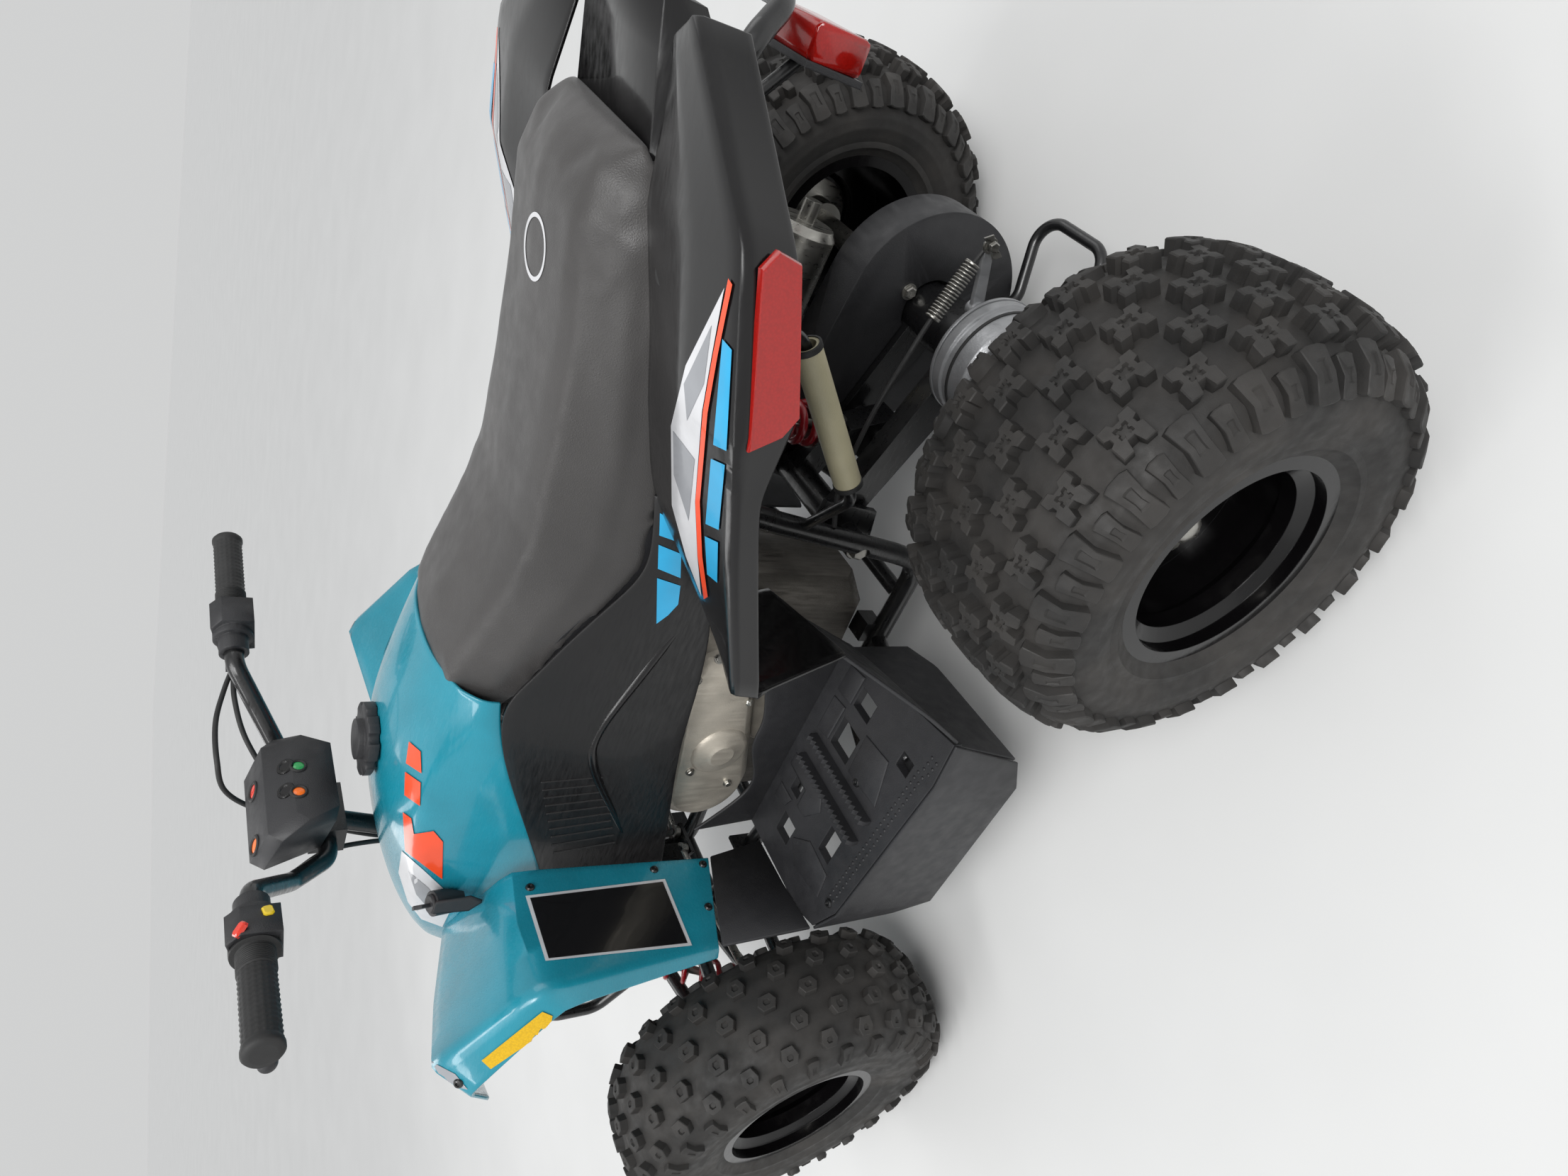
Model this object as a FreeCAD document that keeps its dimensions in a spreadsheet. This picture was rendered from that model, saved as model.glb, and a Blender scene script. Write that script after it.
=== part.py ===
import FreeCAD, Part
import math
import os
import Sketcher
from FreeCAD import Placement, Rotation, Vector

# A youth quad bike: a tubular frame, a single engine, moulded plastics, a padded seat,
# two steered front wheels on double arms and a live rear axle in a swingarm.
# Lengths are in millimetres. +X is forward, +Y is the rider's left, +Z is up.
# Stations along X are written from the middle of the wheelbase, and every piece is
# then shifted back by origin_ahead, so that the origin is under the middle of the bike.

os.makedirs("parts", exist_ok=True)
doc = FreeCAD.newDocument("quad_bike")
sheet = doc.addObject("Spreadsheet::Sheet", "Sizes")

# Each row: alias, value, meaning.
SIZE_TABLE = [
    ("wheel_base", 952, "front axle to rear axle"),
    ("origin_ahead", 35, "origin ahead of the middle of the wheelbase"),
    ("rear_tyre_radius", 226, "rear tyre to the lugs' tips"),
    ("rear_tyre_width", 240, "rear tyre, sidewall to sidewall"),
    ("front_tyre_radius", 238, "front tyre to the lugs' tips"),
    ("front_tyre_width", 176, "front tyre, sidewall to sidewall"),
    ("rear_wheel_side", 355, "rear wheel's middle from the centre plane"),
    ("front_wheel_side", 385, "front wheel's middle from the centre plane"),
    ("bead_radius", 102, "rim's bead seat"),
    ("flange_radius", 118, "rim's flange"),
    ("rear_rim_width", 200, "rear rim, lip to lip"),
    ("front_rim_width", 140, "front rim, lip to lip"),
    ("rim_wall", 3, "sheet thickness of the rims"),
    ("lug_depth", 12, "height of a tyre's tread blocks"),
    ("kingpin_side", 340, "steering pivot from the centre plane"),
    ("arm_spread", 75, "half the distance between an arm's two inner bushes"),
    ("stem_lean", 20, "steering stem's lean back from upright, in degrees"),
    ("stem_foot_x", 507, "stem's lower end, ahead of the wheelbase's middle"),
    ("stem_foot_height", 255, "stem's lower end above the floor"),
    ("stem_radius", 12, "steering stem"),
    ("steer_arm", 50, "pivot to tie rod eye, on the stem and on each knuckle"),
    ("frame_tube", 13, "radius of the main frame tubes"),
    ("light_tube", 10, "radius of the light tubes"),
    ("rail_side", 95, "lower frame rail from the centre plane"),
    ("rail_height", 178, "lower frame rail above the floor"),
    ("pivot_x", -232, "swingarm pivot along the bike"),
    ("pivot_height", 303, "swingarm pivot above the floor"),
    ("shock_lead", 10, "front shocks ahead of the front axle"),
    ("rear_dish", 96, "rear rim's disc, set back from the outer lip"),
    ("front_dish", 84, "front rim's disc, set back from the outer lip"),
    ("hub_bore", 24, "radius of the hole in each rim's disc"),
    ("chain_side", 80, "chain line from the centre plane, on the right"),
    ("sprocket_radius", 84, "rear sprocket"),
    ("rear_drum_radius", 66, "rear brake drum"),
    ("front_drum_radius", 58, "front brake drums"),
    ("axle_radius", 15, "rear axle shaft"),
    ("bar_radius", 11, "handlebar tube"),
    ("bar_half_width", 366, "handlebar's half width"),
    ("bar_height", 904, "grips above the floor"),
    ("grip_radius", 17, "rubber grips"),
    ("skin", 4, "thickness of the moulded plastics"),
    ("fit_gap", 0.3, "running clearance between moving pieces"),
]
for row, (alias, value, meaning) in enumerate(SIZE_TABLE, start=1):
    sheet.set(f"A{row}", meaning)
    sheet.set(f"B{row}", str(value))
    sheet.setAlias(f"B{row}", alias)
doc.recompute()


def size(alias):
    return float(getattr(sheet, alias))


wheel_base = size("wheel_base")
front_x = wheel_base / 2
rear_x = -wheel_base / 2
front_z = size("front_tyre_radius")
rear_z = size("rear_tyre_radius")
skin = size("skin")
tube_radius = size("frame_tube")
light_radius = size("light_tube")
gap = size("fit_gap")
SUB_PARTS = []


def shift():
    return Vector(-size("origin_ahead"), 0, 0)


def add(label, *solids):
    """Adds one sub-part made of one or more solids that stay apart."""
    shape = solids[0] if len(solids) == 1 else Part.makeCompound(list(solids))
    item = doc.addObject("Part::Feature", label)
    item.Label = label
    item.Shape = shape
    item.Placement = Placement(shift(), Rotation())
    SUB_PARTS.append(item)
    return shape


def place(label, item, base, rotation=None):
    """Registers a parametric object as a sub-part and places it."""
    item.Label = label
    item.Placement = Placement(base + shift(), rotation or Rotation())
    SUB_PARTS.append(item)


def mirror(shape):
    return shape.mirror(Vector(0, 0, 0), Vector(0, 1, 0))


def pair(shape):
    return [shape, mirror(shape)]


def vectors(points):
    return [Vector(point) for point in points]


def cylinder(start, end, radius):
    start, end = Vector(start), Vector(end)
    axis = end - start
    return Part.makeCylinder(radius, axis.Length, start, axis)


def box(low, high):
    low, high = Vector(*low), Vector(*high)
    span = high - low
    return Part.makeBox(span.x, span.y, span.z, low)


def tube(points, radius, bend=60):
    """A solid round tube: straight runs joined by bends of one radius."""
    points = vectors(points)
    solids = []
    last = points[0]
    for before, corner, after in zip(points, points[1:], points[2:]):
        back = (before - corner).normalize()
        ahead = (after - corner).normalize()
        half = back.getAngle(ahead) / 2
        reach = min(bend / math.tan(half), 0.49 * (before - corner).Length,
                    0.49 * (after - corner).Length)
        bend_radius = reach * math.tan(half)
        centre = corner + (back + ahead).normalize() * (bend_radius / math.sin(half))
        start, end = corner + back * reach, corner + ahead * reach
        solids.append(cylinder(last, start, radius))
        disc = Part.Face(Part.Wire([Part.makeCircle(radius, start, back)]))
        turn = (start - centre).cross(end - centre)
        solids.append(disc.revolve(centre, turn, 180 - math.degrees(2 * half)))
        last = end
    solids.append(cylinder(last, points[-1], radius))
    return fuse(solids[0], *solids[1:]) if len(solids) > 1 else solids[0]


def triangle(a, b, c):
    return Part.Face(Part.makePolygon([a, b, c, a]))


def quad(a, b, c, d):
    """One flat face where the four points are in a plane, else two triangles."""
    normal = (b - a).cross(c - a)
    if normal.Length > 1e-6 and abs(normal.normalize().dot(d - a)) < 1e-4:
        return [Part.Face(Part.makePolygon([a, b, c, d, a]))]
    return [triangle(a, b, c), triangle(a, c, d)]


def solid_of(faces):
    shell = Part.Shell(faces)
    solid = Part.Solid(shell)
    if solid.Volume < 0:
        solid.reverse()
    return solid


def ring_body(rings):
    """A closed body through sections that all have the same number of corners."""
    rings = [vectors(ring) for ring in rings]
    count = len(rings[0])
    faces = []
    for near, far in zip(rings, rings[1:]):
        for i in range(count):
            j = (i + 1) % count
            faces += quad(near[i], near[j], far[j], far[i])
    for ring in (rings[0], rings[-1]):
        middle = Vector()
        for point in ring:
            middle += point * (1 / count)
        faces += [triangle(ring[i], ring[(i + 1) % count], middle) for i in range(count)]
    return solid_of(faces)


def sheet_body(rows, thickness):
    """A moulded sheet through rows of points, thickened away from its outer face."""
    rows = [vectors(row) for row in rows]
    tall, wide = len(rows), len(rows[0])
    inner = []
    for i in range(tall):
        line = []
        for j in range(wide):
            along = rows[min(i + 1, tall - 1)][j] - rows[max(i - 1, 0)][j]
            across = rows[i][min(j + 1, wide - 1)] - rows[i][max(j - 1, 0)]
            normal = along.cross(across).normalize()
            line.append(rows[i][j] - normal * thickness)
        inner.append(line)
    faces = []
    for i in range(tall - 1):
        for j in range(wide - 1):
            for grid in (rows, inner):
                corner, right = grid[i][j], grid[i][j + 1]
                below, across = grid[i + 1][j], grid[i + 1][j + 1]
                faces += [triangle(corner, right, below), triangle(right, across, below)]
    border = [(0, j) for j in range(wide)]
    border += [(i, wide - 1) for i in range(1, tall)]
    border += [(tall - 1, j) for j in range(wide - 2, -1, -1)]
    border += [(i, 0) for i in range(tall - 2, 0, -1)]
    for (i, j), (k, m) in zip(border, border[1:] + border[:1]):
        faces += [triangle(rows[i][j], rows[k][m], inner[i][j]),
                  triangle(rows[k][m], inner[k][m], inner[i][j])]
    return solid_of(faces)


def revolve(profile, origin, axis):
    """Turns a closed profile of (radius, distance along the axis) about the axis."""
    axis = Vector(*axis).normalize()
    origin = Vector(*origin)
    side = Vector(0, 0, 1) if abs(axis.z) < 0.9 else Vector(1, 0, 0)
    side = (side - axis * side.dot(axis)).normalize()
    points = [origin + side * radius + axis * along for radius, along in profile]
    face = Part.Face(Part.makePolygon(points + points[:1]))
    return face.revolve(origin, axis, 360)


def prism(points, thickness):
    """A flat plate whose outline is pushed along the vector thickness."""
    points = vectors(points)
    return Part.Face(Part.makePolygon(points + points[:1])).extrude(Vector(*thickness))


def fuse(first, *others):
    return first.fuse(list(others)).removeSplitter()


def turned_body(label, profile, holes=None):
    """A PartDesign body turned about its Y axis from a sketched profile.

    Each profile row is (radius formula, distance formula) in the sheet's own words.
    """
    body = doc.addObject("PartDesign::Body", label)
    plane = next(f for f in body.Origin.OriginFeatures if f.Role == "XY_Plane")
    axis = next(f for f in body.Origin.OriginFeatures if f.Role == "Y_Axis")
    sketch = body.newObject("Sketcher::SketchObject", label + "_profile")
    sketch.AttachmentSupport = [(plane, "")]
    sketch.MapMode = "FlatFace"
    names = {row[0]: size(row[0]) for row in SIZE_TABLE}

    def number(formula):
        total = 0.0
        for term in formula.replace("-", "+-").split("+"):
            term = term.strip()
            if not term:
                continue
            sign = -1 if term.startswith("-") else 1
            term = term.lstrip("- ")
            factor = 1.0
            for piece in term.split("*"):
                piece = piece.strip()
                factor *= names[piece] if piece in names else float(piece)
            total += sign * factor
        return total

    def bound(formula):
        words = []
        for word in formula.replace("+", " + ").replace("-", " - ").replace("*", " * ").split():
            words.append("Sizes." + word if word in names else word)
        return " ".join(words)

    corners = [Vector(number(r), number(d), 0) for r, d in profile]
    for i, corner in enumerate(corners):
        sketch.addGeometry(Part.LineSegment(corner, corners[(i + 1) % len(corners)]), False)
    for i in range(len(corners)):
        sketch.addConstraint(Sketcher.Constraint("Coincident", i, 2, (i + 1) % len(corners), 1))
    for i, (radius, along) in enumerate(profile):
        for kind, formula, value in (("DistanceX", radius, corners[i].x),
                                     ("DistanceY", along, corners[i].y)):
            index = sketch.addConstraint(Sketcher.Constraint(kind, -1, 1, i, 1, value))
            sketch.setExpression(f"Constraints[{index}]", bound(formula))
    doc.recompute()
    turn = body.newObject("PartDesign::Revolution", label + "_turned")
    turn.Profile = sketch
    turn.ReferenceAxis = (axis, [""])
    turn.Angle = 360
    sketch.Visibility = False
    body.Tip = turn
    doc.recompute()
    return body


# Wheels

def tyre(radius, width, rim_width, side, x, z):
    """A tyre as one ring with its section rounded to the lugs' tips."""
    half = width / 2
    bead = size("bead_radius") + 1
    flange = size("flange_radius") + 1
    seat = rim_width / 2 - size("rim_wall") - 1
    section = [(bead, -seat), (flange, -seat), (flange + 12, -half * 0.93),
               (flange + 45, -half), (radius * 0.91, -half * 0.94),
               (radius * 0.985, -half * 0.72), (radius, -half * 0.3)]
    section += [(r, -d) for r, d in reversed(section)]
    return revolve(section, (x, side, z), (0, 1, 0))


def rim(label, width, dish):
    """A pressed steel rim: two lips, a barrel and a disc set back from the outer lip."""
    wall = "rim_wall"
    profile = [
        (f"flange_radius", "1"),
        (f"flange_radius", f"{wall} + 1"),
        (f"bead_radius", f"{wall} + 1"),
        (f"bead_radius", f"{width} - 46"),
        (f"bead_radius - 12", f"{width} - 36"),
        (f"bead_radius - 12", f"{width} - 22"),
        (f"bead_radius", f"{width} - 14"),
        (f"bead_radius", f"{width} - {wall} + 1"),
        (f"flange_radius", f"{width} - {wall} + 1"),
        (f"flange_radius", f"{width} + 1"),
        (f"bead_radius - {wall}", f"{width} + 1"),
        (f"bead_radius - {wall}", f"{width} - 12"),
        (f"bead_radius - 12 - {wall}", f"{width} - 20"),
        (f"bead_radius - 12 - {wall}", f"{width} - 38"),
        (f"bead_radius - {wall}", f"{width} - 48"),
        (f"bead_radius - {wall}", f"{width} - {dish} + {wall}"),
        ("62", f"{width} - {dish} + {wall}"),
        ("54", f"{width} - {dish} + 12 + {wall}"),
        ("hub_bore", f"{width} - {dish} + 12 + {wall}"),
        ("hub_bore", f"{width} - {dish} + 12"),
        ("52", f"{width} - {dish} + 12"),
        ("60", f"{width} - {dish}"),
        (f"bead_radius - {wall}", f"{width} - {dish}"),
        (f"bead_radius - {wall}", "1"),
    ]
    return turned_body(label, profile)


rear_rim_width = size("rear_rim_width")
front_rim_width = size("front_rim_width")
rear_side = size("rear_wheel_side")
front_side = size("front_wheel_side")
hub_bore = size("hub_bore")

# Each row: name, side sign, whether it is a front wheel.
for name, sign in (("left", 1), ("right", -1)):
    turn = Rotation() if sign > 0 else Rotation(Vector(1, 0, 0), 180)
    item = rim("front_rim_" + name, "front_rim_width", "front_dish")
    base = Vector(front_x, sign * (front_side - front_rim_width / 2 - 1), front_z)
    place("front_rim_" + name, item, base, turn)
    add("front_tyre_" + name, tyre(size("front_tyre_radius"), size("front_tyre_width"),
                                   front_rim_width, sign * front_side, front_x, front_z))
    item = rim("rear_rim_" + name, "rear_rim_width", "rear_dish")
    base = Vector(rear_x, sign * (rear_side - rear_rim_width / 2 - 1), rear_z)
    place("rear_rim_" + name, item, base, turn)
    add("rear_tyre_" + name, tyre(size("rear_tyre_radius"), size("rear_tyre_width"),
                                  rear_rim_width, sign * rear_side, rear_x, rear_z))

# Rear axle, hubs, sprocket and brake drum

rear_disc = rear_side + rear_rim_width / 2 - size("rear_dish") + 11
axle_end = rear_disc + 30
axle_radius = size("axle_radius")
hub_profile = [(axle_radius, 0), (26, 0), (26, 30), (48, 36), (48, 42),
               (hub_bore - 0.2, 42), (hub_bore - 0.2, 64), (axle_radius, 64)]
hub_start = rear_disc - 42
hub_left = revolve(hub_profile, (rear_x, hub_start, rear_z), (0, 1, 0))
shaft = cylinder((rear_x, -axle_end, rear_z), (rear_x, axle_end, rear_z), axle_radius)
add("rear_axle", fuse(shaft, hub_left, mirror(hub_left)))

chain_y = -size("chain_side")
sprocket_radius = size("sprocket_radius")
sprocket = revolve([(axle_radius, -3), (sprocket_radius, -3), (sprocket_radius, 3),
                    (30, 3), (30, 12), (axle_radius, 12)],
                   (rear_x, chain_y, rear_z), (0, 1, 0))
add("rear_sprocket", sprocket)

drum_radius = size("rear_drum_radius")
drum = revolve([(axle_radius, 0), (drum_radius - 6, 0), (drum_radius, 6), (drum_radius, 38), (drum_radius + 3, 40),
                (drum_radius + 3, 52), (drum_radius - 5, 52), (drum_radius - 5, 8), (axle_radius + 12, 8),
                (axle_radius + 12, 46), (axle_radius, 46)],
               (rear_x, 128, rear_z), (0, -1, 0))
add("rear_brake_drum", drum)

# Swingarm, brake panel and chain guard

pivot_x, pivot_z = size("pivot_x"), size("pivot_height")
pivot = (pivot_x, 0, pivot_z)
housing_radius = 34
pivot_tube = cylinder((pivot_x, -72, pivot_z), (pivot_x, 72, pivot_z), 20)
axle_housing = cylinder((rear_x, -54, rear_z), (rear_x, 70, rear_z), housing_radius)
axle_bore = cylinder((rear_x, -200, rear_z), (rear_x, 200, rear_z), axle_radius + gap)
arm_parts = []
for y in (-50, 50):
    arm_parts.append(prism([(pivot_x - 4, y - 14, pivot_z + 18), (pivot_x - 4, y - 14, pivot_z - 18),
                            (rear_x + 10, y - 14, rear_z - 24), (rear_x + 10, y - 14, rear_z + 24)],
                           (0, 28, 0)))
shock_foot = prism([(pivot_x - 60, -20, 262), (pivot_x - 130, -20, 250),
                    (pivot_x - 105, -20, 312), (pivot_x - 85, -20, 312)], (0, 40, 0))
cross = cylinder((pivot_x - 100, -50, 262), (pivot_x - 100, 50, 262), 14)
swingarm = fuse(pivot_tube, axle_housing, *arm_parts, cross, shock_foot)
pivot_hole = cylinder((pivot_x, -100, pivot_z), (pivot_x, 100, pivot_z), 9)
swingarm = swingarm.cut(axle_bore).cut(pivot_hole)

panel = revolve([(axle_radius + gap, 0), (drum_radius + 4, 0), (drum_radius + 4, 4), (axle_radius + gap, 4)],
                (rear_x, 71, rear_z), (0, 1, 0))
lever = prism([(rear_x - 52, 52, rear_z + 24), (rear_x - 40, 52, rear_z + 36),
               (rear_x - 112, 52, rear_z + 60), (rear_x - 116, 52, rear_z + 50)], (0, 6, 0))
cam = cylinder((rear_x - 44, 48, rear_z + 30), (rear_x - 44, 71, rear_z + 30), 9)
swingarm = swingarm.cut(cylinder((rear_x - 44, 40, rear_z + 30), (rear_x - 44, 80, rear_z + 30), 10))
add("swingarm", swingarm)
add("rear_brake_panel", fuse(panel, cam, lever))

# The guard is a long rounded case round the chain, open towards the sprocket.
guard_path_front = (pivot_x - 112, 296)
guard_rear = 118
guard_front = 62


def capsule(front, back, front_radius, back_radius, y, depth):
    """A long rounded case along a chain run, in the XZ plane."""
    dx, dz = back[0] - front[0], back[1] - front[1]
    span = math.hypot(dx, dz)
    heading = math.atan2(dz, dx)
    tilt = math.asin((back_radius - front_radius) / span)
    up, down = heading - math.pi / 2 - tilt, heading + math.pi / 2 + tilt

    def on(centre, radius, angle):
        return Vector(centre[0] + radius * math.cos(angle), y, centre[1] + radius * math.sin(angle))
    a, b = on(front, front_radius, up), on(front, front_radius, down)
    c, d = on(back, back_radius, down), on(back, back_radius, up)
    edges = [Part.LineSegment(b, c).toShape(),
             Part.Arc(c, on(back, back_radius, heading), d).toShape(),
             Part.LineSegment(d, a).toShape(),
             Part.Arc(a, on(front, front_radius, heading + math.pi), b).toShape()]
    return Part.Face(Part.Wire(edges)).extrude(Vector(0, depth, 0))


guard = capsule(guard_path_front, (rear_x, rear_z), guard_front, guard_rear, chain_y - 24, 58)
guard_inside = capsule(guard_path_front, (rear_x, rear_z), guard_front - 4, guard_rear - 4,
                       chain_y - 20, 50)
guard = guard.cut(guard_inside)
guard = guard.cut(cylinder((rear_x, -300, rear_z), (rear_x, 300, rear_z), 38))
guard = guard.cut(swingarm)
guard = max(guard.Solids, key=lambda one: one.Volume)
add("chain_guard", guard)

# Frame

kingpin_y = size("kingpin_side")
spread = size("arm_spread")
rail_side, rail_z = size("rail_side"), size("rail_height")
LOWER_RAIL = [(575, 60, 250), (545, 62, rail_z), (420, 72, rail_z), (250, rail_side, rail_z),
              (-205, rail_side, rail_z), (-228, 112, 240), (-262, 118, 430), (-285, 118, 556)]
UPPER_RAIL = [(398, 62, 585), (250, 78, 600), (90, 105, 560), (-285, 118, 556), (-648, 92, 638)]
UPRIGHT = [(575, 60, 250), (520, 60, 420), (398, 62, 585)]
MID_RAIL = [(545, 66, 300), (400, 72, 330), (300, 84, 400), (220, 98, 590)]
rails = []
for route in (LOWER_RAIL, UPPER_RAIL, UPRIGHT):
    one = tube(route, tube_radius)
    rails += pair(one)
rails += pair(tube(MID_RAIL, light_radius, 40))
CROSS_TUBES = [(575, 60, 250), (540, 62, rail_z), (330, 84, rail_z), (-150, rail_side, rail_z),
               (-285, 118, 556), (-560, 98, 619), (398, 62, 585), (478, 61, 476)]
for x, half, z in CROSS_TUBES:
    rails.append(cylinder((x, -half, z), (x, half, z), light_radius + 1))
lean = math.radians(size("stem_lean"))
stem_foot = Vector(size("stem_foot_x"), 0, size("stem_foot_height"))
stem_up = Vector(-math.sin(lean), 0, math.cos(lean))
stem_radius = size("stem_radius")


def on_stem(height):
    """The point of the steering axis at a height above the floor."""
    return stem_foot + stem_up * ((height - stem_foot.z) / stem_up.z)


def along_stem(low, high, radius):
    start, end = on_stem(low), on_stem(high)
    return Part.makeCylinder(radius, (end - start).Length, start, stem_up)


upper_bearing = along_stem(572, 602, 22)
lower_bearing = along_stem(282, 310, 22)
lower_bridge = box((stem_foot.x - 36, -70, 290), (stem_foot.x + 8, 70, 306))
frame = fuse(rails[0], *rails[1:], upper_bearing, lower_bearing, lower_bridge)
# Plates that hold the swingarm pivot.
for y in (74, -82):
    plate = prism([(pivot_x + 34, y, pivot_z - 46), (pivot_x - 34, y, pivot_z - 30),
                   (pivot_x - 42, y, pivot_z + 48), (pivot_x + 10, y, pivot_z + 52)], (0, 8, 0))
    frame = frame.fuse(plate)
for bush_x, bush_z, low, high in ((front_x - spread, 200, 172, 212),
                                  (front_x + spread, 200, 172, 256),
                                  (front_x - spread, 318, 306, 342),
                                  (front_x + spread, 318, 285, 330)):
    for side in (20.3, -26.3):
        for sign in (1, -1):
            inner, outer = sorted((sign * 60, sign * 110))
            frame = frame.fuse(box((bush_x + side, inner, low), (bush_x + side + 6, outer, high)))
EYE_HALF = 17
shock_x = front_x + size("shock_lead")
for side in (EYE_HALF + gap, -EYE_HALF - gap - 6):
    for sign in (1, -1):
        inner, outer = sorted((sign * 58, sign * 118))
        frame = frame.fuse(box((shock_x + side, inner, 486), (shock_x + side + 6, outer, 514)))
    for sign in (1, -1):
        inner, outer = sorted((sign * 50, sign * 88))
        frame = frame.fuse(box((shock_x - 38, inner, 490), (shock_x + EYE_HALF + gap + 6, outer, 510)))
    frame = frame.fuse(box((-330 + side, -14, 516), (-330 + side + 6, 14, 566)))
frame = frame.fuse(box((-352, -112, 556), (-308, 112, 566)))
pivot_plates = [cylinder((pivot_x, sign * 82, pivot_z), (pivot_x, sign * 112, pivot_z), 16)
                for sign in (1, -1)]
frame = frame.fuse(pivot_plates)
frame = frame.cut(along_stem(240, 660, stem_radius + gap))
frame = frame.cut(cylinder((pivot_x, -150, pivot_z), (pivot_x, 150, pivot_z), 9))
# A copy of the frame cuts the seats of what it carries, so that the frame itself stays exact.
frame_seat = frame.copy()

# Engine, cover, intake and muffler

engine_rings = []
for x, half, low, high in ((252, 52, 232, 330), (226, 74, 198, 392), (120, 78, 196, 424),
                           (0, 78, 196, 440), (-110, 74, 200, 436), (-150, 60, 226, 400)):
    edge = 18
    engine_rings.append([(x, -half, low + edge), (x, -half + edge, low), (x, half - edge, low),
                         (x, half, low + edge), (x, half, high - edge), (x, half - edge, high),
                         (x, -half + edge, high), (x, -half, high - edge)])
engine = ring_body(engine_rings)
head_axis = (Vector(150, 0, 400), Vector(60, 0, 118))
for step in range(5):
    start = head_axis[0] + head_axis[1] * (step / 5)
    fin = Part.makeBox(118, 116, 8, Vector(-59, -58, 0))
    core = Part.makeBox(92, 90, 27, Vector(-46, -45, -1))
    turn = Rotation(Vector(0, 0, 1), head_axis[1])
    for piece in (fin, core):
        piece.Placement = Placement(start, turn)
        engine = engine.fuse(piece)
engine = engine.removeSplitter()
add("engine_block", engine)

cover_outline = capsule((150, 372), (-40, 424), 62, 50, 78, 62)
cover = cover_outline.makeChamfer(14, [e for e in cover_outline.Edges
                                       if abs(e.CenterOfMass.y - 140) < 1])
small_case = capsule((40, 300), (-96, 372), 46, 40, 78, 40)
cover = fuse(cover, small_case)
add("engine_cover", cover)

boot = tube([(180, 108, 402), (244, 108, 436), (262, 96, 520)], 20, 30)
boot = boot.cut(cover).cut(frame_seat).cut(engine)
add("intake_boot", boot)

muffler_axis = [Vector(-332, -152, 374), Vector(-512, -150, 370)]
muffler_heading = (muffler_axis[1] - muffler_axis[0]).normalize()
can_length = (muffler_axis[1] - muffler_axis[0]).Length
muffler = revolve([(0.0, 0), (20, 0), (42, 22), (42, can_length - 10), (36, can_length),
                   (0.0, can_length)], tuple(muffler_axis[0]), tuple(muffler_heading))
outlet = Part.makeCylinder(11, 24, muffler_axis[1], muffler_heading)
pipe = tube([(150, -70, 318), (150, -118, 318), (60, -134, 318), (-180, -154, 330),
             (-340, -152, 374)], 15, 40)
add("muffler", fuse(muffler, outlet, pipe).cut(frame_seat).cut(engine))

# Shocks and front arms


def shock(top, bottom, body_radius):
    """A damper with an eye at each end. The spring is a piece of its own."""
    top, bottom = Vector(*top), Vector(*bottom)
    axis = (bottom - top).normalize()
    length = (bottom - top).Length
    upper = Part.makeCylinder(body_radius * 0.6, length * 0.55, top + axis * 8, axis)
    rod = Part.makeCylinder(6, length - 12, top + axis * 6, axis)
    seat_top = Part.makeCylinder(body_radius + 2, 4, top + axis * 22, axis)
    seat_low = Part.makeCylinder(body_radius + 2, 4, bottom - axis * 30, axis)
    eyes = []
    for point in (top, bottom):
        eyes.append(Part.makeCylinder(14, 2 * EYE_HALF, point - Vector(EYE_HALF, 0, 0), Vector(1, 0, 0)))
    hole = [Part.makeCylinder(6, 60, point - Vector(30, 0, 0), Vector(1, 0, 0))
            for point in (top, bottom)]
    shape = fuse(upper, rod, seat_top, seat_low, *eyes)
    for one in hole:
        shape = shape.cut(one)
    return shape, (top + axis * 26, bottom - axis * 30, axis)


def coil(start, end, axis, radius, wire, turns, core):
    """A coil spring's sleeve, with a groove between its turns."""
    length = (end - start).Length
    pitch = length / turns
    profile = [(core + gap, 0)]
    for turn in range(turns):
        base = turn * pitch
        profile += [(radius, base + pitch * 0.15), (radius, base + pitch * 0.6),
                    (radius - wire, base + pitch * 0.875)]
    profile += [(core + gap, length)]
    return revolve(profile, tuple(start), tuple(axis))


rear_top, rear_foot = (-330, 0, 528), (pivot_x - 95, 0, 326)
front_top, front_foot = (shock_x, 106, 500), (shock_x, 256, 208)
rear_damper, rear_span = shock(rear_top, rear_foot, 26)
front_damper, front_span = shock(front_top, front_foot, 22)
add("rear_shock", rear_damper)
add("rear_spring", coil(*rear_span, 26, 6, 7, 26 * 0.6))
add("front_shocks", *pair(front_damper))
add("front_springs", *pair(coil(*front_span, 22, 5, 8, 22 * 0.6)))

BUSH_RADIUS, BUSH_HALF, BUSH_SIDE = 13, 20, 98
ARM_TIP_HALF = 24
LOWER_IN, LOWER_OUT, UPPER_IN, UPPER_OUT = 200, 176, 318, 300


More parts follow.
